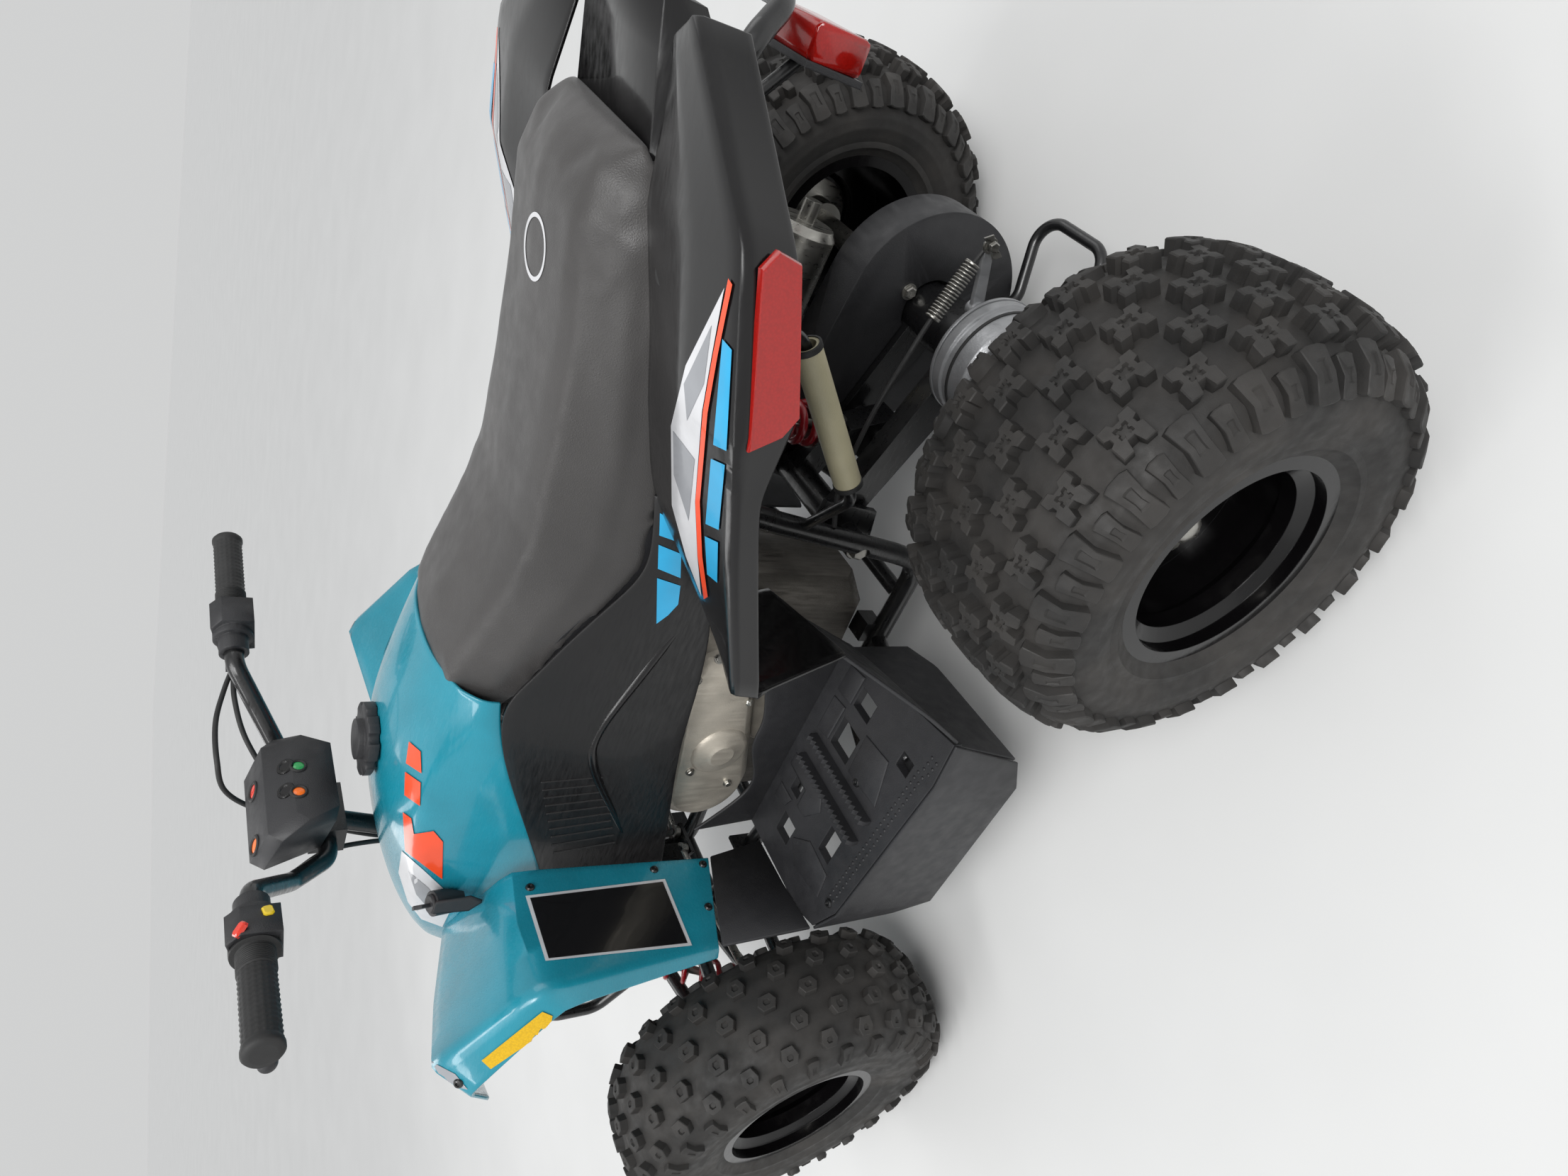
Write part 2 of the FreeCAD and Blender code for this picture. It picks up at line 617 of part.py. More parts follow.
def arm(half_spread, height_in, height_out, tip_y):
    """A double arm: two tubes from the inner bushes to one ball joint at the knuckle."""
    pieces = []
    for sign in (1, -1):
        bush_x = front_x + sign * half_spread
        pieces.append(tube([(bush_x, BUSH_SIDE, height_in),
                            (front_x + sign * ARM_TIP_HALF, tip_y - 24, height_out)], light_radius))
        pieces.append(cylinder((bush_x - BUSH_HALF, BUSH_SIDE, height_in),
                               (bush_x + BUSH_HALF, BUSH_SIDE, height_in), BUSH_RADIUS))
    web = prism([(front_x - ARM_TIP_HALF - 8, tip_y - 34, height_out - 6),
                 (front_x + ARM_TIP_HALF + 8, tip_y - 34, height_out - 6),
                 (front_x + 12, tip_y, height_out - 6), (front_x - 12, tip_y, height_out - 6)],
                (0, 0, 12))
    joint = cylinder((front_x, tip_y, height_out - 8), (front_x, tip_y, height_out + 8), 15)
    return fuse(pieces[0], *pieces[1:], web, joint)


lower_arm = arm(spread, LOWER_IN, LOWER_OUT, kingpin_y)
upper_arm = arm(spread, UPPER_IN, UPPER_OUT, kingpin_y)
foot_x, foot_y, foot_z = front_foot
lower_arm = fuse(lower_arm, box((foot_x - 44, foot_y - 15, 176), (foot_x + 50, foot_y + 15, 188)),
                 *[box((foot_x + side, foot_y - 13, 186), (foot_x + side + 6, foot_y + 13, foot_z + 13))
                   for side in (EYE_HALF + gap, -EYE_HALF - gap - 6)])
bolt_hole = cylinder((foot_x - 60, foot_y, foot_z), (foot_x + 60, foot_y, foot_z), 5)
lower_arm = lower_arm.cut(bolt_hole)
add("lower_arms", *pair(lower_arm.cut(frame_seat)))
add("upper_arms", *pair(upper_arm.cut(frame_seat)))

# Knuckles, front drums and tie rods

arm_length = size("steer_arm")
stub_end = front_side + 30
KNUCKLE_EYE = Vector(front_x - arm_length, kingpin_y - 18, 228)
knuckle = fuse(
    cylinder((front_x, kingpin_y, LOWER_OUT + 8 + gap), (front_x, kingpin_y, UPPER_OUT - 8 - gap), 15),
    cylinder((front_x, kingpin_y, front_z), (front_x, stub_end, front_z), 12),
    prism([(front_x + 10, kingpin_y - 12, 228), (front_x + 10, kingpin_y + 10, 228),
           (KNUCKLE_EYE.x - 8, KNUCKLE_EYE.y + 11, 228), (KNUCKLE_EYE.x - 12, KNUCKLE_EYE.y, 228),
           (KNUCKLE_EYE.x - 6, KNUCKLE_EYE.y - 11, 228)], (0, 0, 10)))
add("knuckle_left", knuckle)
add("knuckle_right", mirror(knuckle))

front_drum_radius = size("front_drum_radius")
drum_start = kingpin_y + 22
front_disc = front_side + front_rim_width / 2 - size("front_dish") + 11
front_drum = revolve([(12 + gap, 0), (front_drum_radius, 0), (front_drum_radius, 8),
                      (front_drum_radius - 8, front_disc - drum_start),
                      (hub_bore - 0.2, front_disc - drum_start),
                      (hub_bore - 0.2, front_disc - drum_start + 14),
                      (12 + gap, front_disc - drum_start + 14)],
                     (front_x, drum_start, front_z), (0, 1, 0))
add("front_drum_left", front_drum)
add("front_drum_right", mirror(front_drum))

stem_back = Vector(-math.cos(lean), 0, -math.sin(lean))
eye_side = 18
rod_lift = 15.3
for name, sign in (("left", 1), ("right", -1)):
    inner_eye = stem_foot + stem_back * arm_length + Vector(0, sign * eye_side, 0)
    inner = inner_eye + stem_up * rod_lift
    outer = Vector(KNUCKLE_EYE.x, sign * KNUCKLE_EYE.y, 250)
    rod = Part.makeCylinder(6, (outer - inner).Length, inner, outer - inner)
    inner_end = Part.makeCylinder(11, 10, inner - stem_up * 5, stem_up)
    outer_end = Part.makeCylinder(11, 12, outer - Vector(0, 0, 6), Vector(0, 0, 1))
    hole = Part.makeCylinder(5 + gap, 40, inner - stem_up * 20, stem_up)
    add("tie_rod_" + name, fuse(rod, inner_end, outer_end).cut(hole))

# Steering

pitman = prism([tuple(stem_foot + Vector(0, -17, 0)), tuple(stem_foot + Vector(0, 17, 0)),
                tuple(stem_foot + stem_back * (arm_length + 11) + Vector(0, 30, 0)),
                tuple(stem_foot + stem_back * (arm_length + 11) + Vector(0, -30, 0))],
               tuple(stem_up * 8))
studs = []
for sign in (1, -1):
    start = stem_foot + stem_back * arm_length + Vector(0, sign * eye_side, 0)
    studs.append(Part.makeCylinder(5, 22, start, stem_up))
clamp_height = 792
stem_top = on_stem(clamp_height)
stem = Part.makeCylinder(stem_radius, (stem_top - stem_foot).Length, stem_foot, stem_up)
bar_radius = size("bar_radius")
bar_foot = stem_top + stem_up * (bar_radius + 1)
clamp = box((bar_foot.x - 20, -38, bar_foot.z - bar_radius - 10),
            (bar_foot.x + 20, 38, bar_foot.z + bar_radius + 8))
bar_half = size("bar_half_width")
bar_height = size("bar_height")
GRIP_X, GRIP_LENGTH = 158, 118
grip_in = Vector(GRIP_X + 46, bar_half - 196, bar_height - 4)
BAR_ROUTE = [(bar_foot.x, 0, bar_foot.z), (bar_foot.x, 62, bar_foot.z),
             (bar_foot.x - 20, 104, bar_foot.z + 46), tuple(grip_in),
             (GRIP_X, bar_half, bar_height)]
half_bar = tube(BAR_ROUTE, bar_radius, 30)
handlebar = fuse(half_bar, mirror(half_bar))
add("steering_stem", fuse(stem, pitman, *studs, clamp).cut(handlebar))
add("handlebar", handlebar)

grip_axis = (Vector(GRIP_X, bar_half, bar_height) - grip_in).normalize()
grip_start = Vector(GRIP_X, bar_half, bar_height) - grip_axis * GRIP_LENGTH
grip_radius = size("grip_radius")
grip = revolve([(bar_radius, 0), (grip_radius + 6, 0), (grip_radius + 6, 4), (grip_radius, 7),
                (grip_radius, GRIP_LENGTH - 4), (grip_radius + 2, GRIP_LENGTH),
                (grip_radius - 3, GRIP_LENGTH + 5), (0.0, GRIP_LENGTH + 5),
                (0.0, GRIP_LENGTH), (bar_radius, GRIP_LENGTH)],
               tuple(grip_start), tuple(grip_axis))
add("grips", *pair(grip))


def on_bar(along):
    """A point on the left grip's line, measured inward from the grip's inner end."""
    return grip_start - grip_axis * along


def control(side_name, lever_drop):
    """A switch or throttle housing round the bar, with its lever and perch."""
    start, end = on_bar(0.4), on_bar(44)
    housing = Part.makeCylinder(23, (end - start).Length, start, end - start)
    block = ring_body([[tuple(on_bar(a) + Vector(dx, 0, dz))
                        for dx, dz in ((-26, -22), (20, -26), (26, 14), (-14, 26), (-28, 14))]
                       for a in (2, 40)])
    lever = tube([tuple(on_bar(56) + Vector(20, 0, -4)), tuple(on_bar(30) + Vector(52, 0, -8)),
                  tuple(on_bar(-60) + Vector(58, 0, -lever_drop)),
                  tuple(on_bar(-104) + Vector(46, 0, -lever_drop))], 6, 30)
    ball = Part.makeSphere(9, on_bar(-104) + Vector(46, 0, -lever_drop))
    perch = Part.makeCylinder(17, 24, on_bar(66), grip_axis)
    reach = box(tuple(on_bar(64) + Vector(6, 0, -9)), tuple(on_bar(64) + Vector(34, 15, 7)))
    bar_hole = Part.makeCylinder(bar_radius, 120, on_bar(100), grip_axis)
    return fuse(housing, block, perch, reach, lever, ball).cut(handlebar).cut(grip)


left_controls = control("left", 8)
add("left_controls", left_controls)
add("right_controls", mirror(left_controls))

# Each row: x, half width at the top, half width at the foot, top height, foot height.
POD_STATIONS = [(318, 46, 40, 870, 816), (300, 74, 50, 888, 812), (246, 78, 56, 874, 802),
                (226, 66, 50, 846, 800)]
pod_rings = []
for x, top, foot, high, low in POD_STATIONS:
    pod_rings.append([(x, -foot, low), (x, foot, low), (x, top, high - 14), (x, top - 12, high),
                      (x, -top + 12, high), (x, -top, high - 14)])
pod = ring_body(pod_rings)
pod = pod.cut(fuse(stem, clamp, handlebar))
pod = max(pod.Solids, key=lambda one: one.Volume)
add("instrument_pod", pod)

# Bodywork

# Each row: x, top height, top half width, shoulder height, shoulder half width,
# lower edge height, lower edge half width.
TANK_STATIONS = [
    (480, 682, 44, 662, 76, 612, 96),
    (400, 716, 58, 694, 112, 600, 140),
    (300, 748, 62, 716, 130, 580, 160),
    (190, 766, 64, 734, 130, 604, 163),
    (110, 760, 62, 724, 122, 648, 156),
    (30, 722, 56, 706, 108, 674, 140),
    (-30, 704, 50, 694, 98, 676, 124),
]
tank_rows = []
for x, top, top_y, mid, mid_y, low, low_y in TANK_STATIONS:
    tank_rows.append([(x, low_y, low), (x, (mid_y + low_y) / 2 + 6, (mid + low) / 2), (x, mid_y, mid),
                      (x, top_y, top), (x, -top_y, top), (x, -mid_y, mid),
                      (x, -(mid_y + low_y) / 2 - 6, (mid + low) / 2), (x, -low_y, low)])
tank = sheet_body(tank_rows, -skin)
tank = tank.cut(along_stem(640, 830, stem_radius + 12))
CAP_X, CAP_R = 168, 44
cap_seat = 766
tank = tank.fuse(Part.makeCylinder(CAP_R - 8, 12, Vector(CAP_X, 0, cap_seat - 12)))
cap = Part.makeCylinder(CAP_R, 12, Vector(CAP_X, 0, cap_seat + 0.5))
for i in range(8):
    angle = i * math.pi / 4
    cap = cap.cut(Part.makeCylinder(7, 30, Vector(CAP_X + (CAP_R + 2) * math.cos(angle),
                                                  (CAP_R + 2) * math.sin(angle), cap_seat - 6)))
cap = cap.fuse(Part.makeCylinder(CAP_R * 0.55, 8, Vector(CAP_X, 0, cap_seat + 12)))
cap = cap.cut(tank)
add("fuel_cap", cap)

# Rows from front to rear, then down the rear panel. Columns: inner edge, crease, outer
# crease, outer edge.
FRONT_FENDER = [
    [(620, 92, 552), (592, 176, 572), (470, 292, 636), (352, 372, 668)],
    [(410, 120, 660), (380, 236, 698), (300, 350, 735), (304, 384, 700)],
    [(215, 184, 632), (200, 262, 648), (175, 359, 652), (190, 374, 628)],
    [(222, 200, 370), (218, 264, 392), (215, 330, 414), (223, 337, 416)],
]
fender = sheet_body(FRONT_FENDER, -skin)
tank = max(tank.Solids, key=lambda one: one.Volume)
fender = max(fender.cut(tank).Solids, key=lambda one: one.Volume)
tank = max(tank.cut(fender).cut(mirror(fender)).Solids, key=lambda one: one.Volume)
add("front_fenders", *pair(fender))
add("tank_cover", tank)

# Each row: x, half width, lower edge, upper edge.
NOSE_STATIONS = [(612, 96, 470, 556), (680, 84, 440, 536), (730, 66, 450, 500)]
nose_rings = []
for x, half, low, high in NOSE_STATIONS:
    nose_rings.append([(x, -half + 16, low), (x, half - 16, low), (x, half, low + 20),
                       (x, half - 12, high), (x, -half + 12, high), (x, -half, low + 20)])
nose = ring_body(nose_rings).cut(frame_seat).cut(fuse(fender, mirror(fender)))
lamp = cylinder((700, 34, 486), (742, 34, 478), 24)
nose = nose.cut(fuse(lamp, mirror(lamp)))
nose = max(nose.Solids, key=lambda one: one.Volume)
add("nose_cowl", nose)
add("headlamps", *pair(lamp))

# Each row: x, upper edge height and side, lower edge height and side.
PANEL_STATIONS = [(262, 572, 168, 425, 168), (150, 622, 168, 440, 168), (40, 668, 152, 455, 166),
                  (-40, 668, 132, 468, 164), (-110, 632, 142, 480, 162),
                  (-170, 590, 146, 490, 160), (-214, 572, 150, 505, 158)]
panel_rows = [[(x, low_y, low), (x, (low_y + high_y) / 2 + 5, (low + high) / 2), (x, high_y, high)]
              for x, high, high_y, low, low_y in PANEL_STATIONS]
side_panel = sheet_body(panel_rows, -skin).cut(tank).cut(frame_seat).cut(fender)
side_panel = max(side_panel.Solids, key=lambda one: one.Volume)

MUDGUARD = [[(218, 198, 366), (214, 264, 388), (211, 330, 408)],
            [(216, 186, 283), (213, 260, 283), (204, 334, 283)]]
mudguard = sheet_body(MUDGUARD, -skin).cut(fender)
mudguard = max(mudguard.Solids, key=lambda one: one.Volume)

FLOOR_TOP, FLOOR_THICK = 282, 12
FLOOR_OUTLINE = [(214, 152), (214, 300), (200, 334), (150, 352), (-100, 366), (-158, 360),
                 (-120, 200), (-60, 152)]
floor = prism([(x, y, FLOOR_TOP - FLOOR_THICK) for x, y in FLOOR_OUTLINE], (0, 0, FLOOR_THICK))
for x, y, long, wide in ((130, 250, 60, 34), (60, 300, 50, 30), (-60, 240, 56, 40), (0, 200, 44, 30)):
    floor = floor.cut(box((x - long / 2, y - wide / 2, 200), (x + long / 2, y + wide / 2, 300)))
SKIRT = [[(202, 334, 281), (152, 352, 281), (-100, 366, 281), (-158, 360, 281)],
         [(192, 340, 160), (148, 358, 130), (-90, 372, 150), (-128, 366, 170)]]
skirt = sheet_body(SKIRT, skin)
WING = [[(-120, 200, 280), (-140, 280, 280), (-157, 358, 280)],
        [(-166, 196, 370), (-188, 280, 374), (-212, 354, 380)],
        [(-200, 192, 436), (-216, 276, 440), (-238, 346, 444)]]
wing = sheet_body(WING, skin)
bars = [ring_body([[(x, 180, 282), (x + 8, 180, 282), (x + 8, 180, 296), (x, 180, 296)],
                   [(x, 325, 282), (x + 8, 325, 282), (x + 8, 325, 296), (x, 325, 296)]])
        for x in (10, 46)]
footwell = fuse(floor, skirt, wing, *bars)

# Rows from front to rear. Columns: inner edge, crease, outer edge, lower outer edge.
REAR_FENDER = [
    [(-198, 190, 428), (-214, 272, 430), (-234, 338, 432), (-244, 350, 436)],
    [(-176, 160, 552), (-225, 262, 585), (-262, 356, 596), (-268, 360, 560)],
    [(-330, 156, 606), (-350, 275, 650), (-380, 358, 648), (-390, 358, 610)],
    [(-440, 154, 640), (-455, 280, 682), (-468, 360, 690), (-500, 352, 642)],
    [(-560, 150, 668), (-575, 250, 700), (-590, 322, 704), (-588, 322, 665)],
    [(-650, 120, 690), (-672, 150, 712), (-688, 182, 720), (-690, 198, 682)],
]
rear_fender = sheet_body(REAR_FENDER, -skin).cut([frame_seat, footwell, side_panel])
rear_fender = max(rear_fender.Solids, key=lambda one: one.Volume)

# Each row: x, lower edge height and side, crest height and side, crown height.
SEAT_STATIONS = [
    (22, 664, 84, 702, 74, 708),
    (-36, 648, 112, 694, 96, 700),
    (-100, 630, 134, 700, 104, 706),
    (-158, 596, 142, 697, 108, 702),
    (-212, 582, 144, 694, 110, 699),
    (-305, 606, 145, 701, 112, 706),
    (-421, 642, 142, 710, 110, 716),
    (-516, 668, 134, 726, 100, 732),
    (-552, 676, 120, 720, 88, 726),
    (-576, 684, 98, 700, 70, 704),
]
seat_rings = []
for x, low, low_y, crest, crest_y, crown in SEAT_STATIONS:
    bulge_y = (low_y + crest_y) / 2 + 12
    bulge = low + (crest - low) * 0.45
    seat_rings.append([(x, -low_y, low), (x, low_y, low), (x, bulge_y, bulge), (x, crest_y, crest),
                       (x, 0, crown), (x, -crest_y, crest), (x, -bulge_y, bulge)])
seat = ring_body(seat_rings)
seat = seat.cut(fuse(tank, side_panel, mirror(side_panel), rear_fender, mirror(rear_fender),
                     frame_seat))
seat = max(seat.Solids, key=lambda one: one.Volume)
add("seat", seat)

add("side_panels", *pair(side_panel))
add("inner_mudguards", *pair(mudguard))
footwell = footwell.cut(mudguard).cut(frame_seat)
footwell = max(footwell.Solids, key=lambda one: one.Volume)
add("footwells", *pair(footwell))
add("rear_fenders", *pair(rear_fender))

TAIL_STATIONS = [(-578, 112, 630, 686, 100), (-650, 104, 644, 700, 94), (-690, 92, 672, 704, 84)]
tail = ring_body([[(x, -low_y, low), (x, low_y, low), (x, high_y, high), (x, -high_y, high)]
                  for x, low_y, low, high, high_y in TAIL_STATIONS])
tail = tail.cut(fuse(rear_fender, mirror(rear_fender), frame_seat, seat))
tail = max(tail.Solids, key=lambda one: one.Volume)
add("tail_cover", tail)

GRAB_ROUTE = [(-640, 92, 636), (-680, 98, 634), (-716, 70, 600), (-716, -70, 600),
              (-680, -98, 634), (-640, -92, 636)]
grab_bar = tube(GRAB_ROUTE, light_radius, 34).cut(frame_seat).cut(tail)
grab_bar = max(grab_bar.Solids, key=lambda one: one.Volume)
add("grab_bar", grab_bar)

lamp_body = box((-712, -52, 500), (-680, 52, 556)).cut(grab_bar)
lamp_stay = tube([(-560, 0, 606), (-640, 0, 560), (-680, 0, 530)], 6, 30).cut(frame_seat).cut(lamp_body)
lamp_stay = max(lamp_stay.Solids, key=lambda one: one.Volume)
add("tail_lamp", lamp_body)
add("tail_lamp_stay", lamp_stay)

HOOP_ROUTE = [(-446, 50, 190), (-520, 50, 112), (-616, 50, 100), (-618, -72, 106),
              (-520, -36, 112), (-446, -42, 190)]
hoop = tube(HOOP_ROUTE, 7, 28).cut(swingarm).cut(guard)
hoop = max(hoop.Solids, key=lambda one: one.Volume)
add("rear_hoop", hoop)

BUMPER_ROUTE = [(574, 60, 250), (700, 76, 258), (782, 84, 330), (776, 84, 430), (700, 76, 420),
                (527, 60, 400)]
bumper_side = tube(BUMPER_ROUTE, light_radius, 40)
bumper = fuse(bumper_side, mirror(bumper_side),
              cylinder((786, -86, 380), (786, 86, 380), light_radius),
              cylinder((740, -80, 296), (740, 80, 296), light_radius))
bumper = bumper.cut(frame_seat).cut(nose)
bumper = max(bumper.Solids, key=lambda one: one.Volume)
add("front_bumper", bumper)

lock = cylinder((300, 150, 668), (294, 156, 702), 15).cut(fuse(tank, fender))
lock = max(lock.Solids, key=lambda one: one.Volume)
add("key_lock", lock)

STAY_ROUTE = [(-258, 116, 398), (-350, 200, 424), (-492, 180, 540), (-528, 186, 664)]
stay = tube(STAY_ROUTE, 6, 30).cut(frame_seat).cut(rear_fender)
stay = max(stay.Solids, key=lambda one: one.Volume)
add("fender_stays", *pair(stay))
sleeve_start, sleeve_end = Vector(-372, 198, 442), Vector(-470, 183, 522)
sleeve = cylinder(tuple(sleeve_start), tuple(sleeve_end), 14).cut(stay)
add("stay_sleeves", *pair(max(sleeve.Solids, key=lambda one: one.Volume)))

# Brackets on the frame, each stopping at the piece that it carries.
# Each row: low corner, high corner.
BRACKETS = [
    ((240, 74, 594), (260, 157, 600)),
    ((-300, 100, 560), (-270, 128, 610)),
    ((100, 66, 180), (130, 95, 206)),
    ((-100, 66, 180), (-70, 95, 206)),
    ((6, 300, 254), (34, 336, 276)),
    ((-94, 300, 254), (-66, 336, 276)),
    ((238, 86, 520), (254, 170, 528)),
    ((-190, 112, 552), (-170, 152, 560)),
]
tubes_out = [cylinder((x, rail_side, rail_z), (x, 330, 256), light_radius) for x in (20, -80)]
nose_stay = cylinder((505, 60, 438), (660, 60, 500), light_radius)
carried = [boot, tank, seat, engine, cover, footwell, side_panel, rear_fender, nose, bumper, fender]
brackets = [box(low, high) for low, high in BRACKETS] + tubes_out + [nose_stay]
brackets = fuse(brackets[0], *brackets[1:])
brackets = fuse(brackets, mirror(brackets))
for piece in carried:
    brackets = brackets.cut(piece).cut(mirror(piece))
frame = frame.fuse(brackets)
add("frame", max(frame.Solids, key=lambda one: one.Volume))

doc.recompute()
for item in doc.Objects:
    if "Invalid" in item.State or "Error" in item.State:
        raise RuntimeError(f"{item.Label} did not build")
for item in SUB_PARTS:
    if item.Shape.isNull() or not item.Shape.isValid():
        raise RuntimeError(f"{item.Label} is not a valid shape")
for item in SUB_PARTS:
    item.Shape.exportStep(f"parts/{item.Label}.step")
print(len(SUB_PARTS), "sub-parts written")
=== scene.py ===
import math

import bmesh
import bpy
from mathutils import Matrix, Vector, bvhtree


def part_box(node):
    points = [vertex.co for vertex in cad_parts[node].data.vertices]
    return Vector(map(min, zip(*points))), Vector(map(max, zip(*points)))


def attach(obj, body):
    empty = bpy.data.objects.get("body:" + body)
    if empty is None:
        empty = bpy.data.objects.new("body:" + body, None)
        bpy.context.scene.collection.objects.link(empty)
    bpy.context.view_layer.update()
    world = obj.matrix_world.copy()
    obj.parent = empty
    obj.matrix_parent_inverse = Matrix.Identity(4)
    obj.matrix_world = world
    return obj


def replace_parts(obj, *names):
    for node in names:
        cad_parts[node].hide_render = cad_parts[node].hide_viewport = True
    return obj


# A youth quad bike, seen from its rear left and above. +X is forward, +Y is the rider's left,
# +Z is up. Lengths are in metres. Tables of places are in millimetres, from the middle of the
# wheelbase, which lies AHEAD of the origin.

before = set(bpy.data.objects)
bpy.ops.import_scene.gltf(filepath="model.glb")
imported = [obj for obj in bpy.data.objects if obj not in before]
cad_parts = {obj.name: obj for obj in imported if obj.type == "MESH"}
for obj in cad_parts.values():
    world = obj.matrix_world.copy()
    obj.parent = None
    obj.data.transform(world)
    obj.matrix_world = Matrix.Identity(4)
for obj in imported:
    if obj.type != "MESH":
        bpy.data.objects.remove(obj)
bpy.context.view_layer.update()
AHEAD = -0.035
SIDES = (("left", 1), ("right", -1))
TURN = 2 * math.pi


# Materials

COAT_ROUGHNESS = 0.06
GLOSS_BLACK = (15, 14, 15)
VINYL = (60, 58, 57)
RUBBER, DUST = (40, 39, 38), (74, 70, 66)


def shade(colour, factor=1.0):
    """A display colour from 0 to 255 as the shader's linear colour, times a factor."""
    out = []
    for value in colour:
        value /= 255
        out.append(factor * (value / 12.92 if value <= 0.04045 else ((value + 0.055) / 1.055) ** 2.4))
    return (*out, 1)


def fill(tree, node, values):
    """Gives a node's inputs their constants, or links them to other nodes' outputs."""
    for name, value in values.items():
        if isinstance(value, bpy.types.NodeSocket):
            tree.links.new(value, node.inputs[name])
        else:
            node.inputs[name].default_value = value
    return node


class Shader:
    """A material being built from nodes round one Principled shader. An edge softens the look of
    sharp edges, as a moulding's or a casting's are."""

    def __init__(self, name, roughness, metallic=0.0, coat=0.0, edge=0.0):
        self.material = bpy.data.materials.new(name)
        self.material.use_nodes = True
        self.tree = self.material.node_tree
        self.surface = self.tree.nodes["Principled BSDF"]
        self.place = self.add("TexCoord", {}).outputs["Object"]
        self.normal = None
        self.set({"Roughness": roughness, "Metallic": metallic, "Coat Weight": coat,
                  "Coat Roughness": COAT_ROUGHNESS})
        if edge:
            bevel = self.add("Bevel", {"Radius": edge})
            bevel.samples = 4
            self.relief(bevel)

    def add(self, kind, values):
        return fill(self.tree, self.tree.nodes.new("ShaderNode" + kind), values)

    def set(self, values):
        fill(self.tree, self.surface, values)

    def noise(self, scale, detail=3.0, stretch=None):
        """Noise over the object's own coordinates, which a stretch multiplies along each axis."""
        place = self.place
        if stretch:
            place = self.add("Mapping", {"Scale": stretch, "Vector": place}).outputs["Vector"]
        return self.add("TexNoise", {"Scale": scale, "Detail": detail, "Vector": place}).outputs["Fac"]

    def cells(self, scale, feature="F1"):
        node = self.add("TexVoronoi", {"Scale": scale, "Vector": self.place})
        node.feature = feature
        return node.outputs["Distance"]

    def spread(self, texture, low, high, start=0.3, end=0.7):
        """Maps a texture's range from start to end onto low to high."""
        return self.add("MapRange", {"From Min": start, "From Max": end, "To Min": low, "To Max": high,
                                     "Value": texture}).outputs["Result"]

    def tint(self, texture, first, second, most=1, start=0.3, end=0.7):
        """Colours the surface from the first colour towards the second as a texture rises."""
        node = self.tree.nodes.new("ShaderNodeMix")
        node.data_type = "RGBA"
        colours = [socket for socket in node.inputs if socket.type == "RGBA"]
        colours[0].default_value, colours[1].default_value = first, second
        fill(self.tree, node, {"Factor": self.spread(texture, 0, most, start, end)})
        self.set({"Base Color": next(socket for socket in node.outputs if socket.type == "RGBA")})

    def roughen(self, texture, low, high):
        self.set({"Roughness": self.spread(texture, low, high)})

    def relief(self, node):
        self.normal = node.outputs["Normal"]
        self.set({"Normal": self.normal})

    def bump(self, texture, strength, depth):
        """Adds one more layer of relief, depth in metres."""
        values = {"Strength": strength, "Distance": depth, "Height": texture}
        if self.normal:
            values["Normal"] = self.normal
        self.relief(self.add("Bump", values))


def paint(name, colour, roughness, coat, edge, shine=0.5):
    """Glossy moulded plastic or powder coat: faint mottling, orange peel and fine scuffs."""
    look = Shader(name, roughness, 0, coat, edge)
    look.set({"Specular IOR Level": shine})
    look.tint(look.noise(14), shade(colour, 0.9), shade(colour, 1.1))
    look.roughen(look.noise(160, 5, (0.3, 1, 2)), roughness * 0.75, roughness * 1.5)
    look.bump(look.noise(420, 2), 0.08, 0.0004)
    return look.material


def grained(name, colour, roughness, grain, depth, edge):
    """Matt plastic or rubber with a fine pebble grain."""
    look = Shader(name, roughness, edge=edge)
    look.tint(look.noise(9, 5), shade(colour, 0.8), shade(colour, 1.25))
    look.roughen(look.noise(60, 4), roughness * 0.8, roughness * 1.15)
    look.bump(look.cells(grain), 0.5, depth)
    look.bump(look.noise(grain * 0.4), 0.3, depth)
    return look.material


def metal(name, colour, roughness, cast, edge, metallic=0.95):
    """Bare or plated metal. Cast metal is pebbled."""
    look = Shader(name, roughness, metallic, edge=edge)
    look.tint(look.noise(22, 6), shade(colour, 0.72), shade(colour))
    look.roughen(look.noise(240, 4, (1, 1, 0.12)), roughness * 0.7, roughness * 1.4)
    if cast:
        look.bump(look.noise(520, 4), 0.45, cast)
    return look.material


def vinyl():
    """Seat covering: pebbled leather grain, creases and a soft sheen."""
    look = Shader("seat_vinyl", 0.46)
    look.set({"Sheen Weight": 0.12})
    look.tint(look.noise(7, 5), shade(VINYL, 0.82), shade(VINYL, 1.12))
    look.roughen(look.noise(45, 4), 0.38, 0.56)
    look.bump(look.noise(30), 0.1, 0.0012)
    look.bump(look.cells(430, "DISTANCE_TO_EDGE"), 0.5, 0.0005)
    look.bump(look.cells(1100), 0.35, 0.00025)
    return look.material


def tyre_rubber():
    """Tyre rubber: matt black, dusty in patches, faintly pitted."""
    look = Shader("tyre_rubber", 0.72)
    look.set({"Specular IOR Level": 0.42})
    look.tint(look.noise(16, 6), shade(RUBBER), shade(DUST), 0.45, 0.4, 0.8)
    look.roughen(look.noise(70, 4), 0.55, 0.85)
    look.bump(look.noise(700), 0.3, 0.0004)
    return look.material


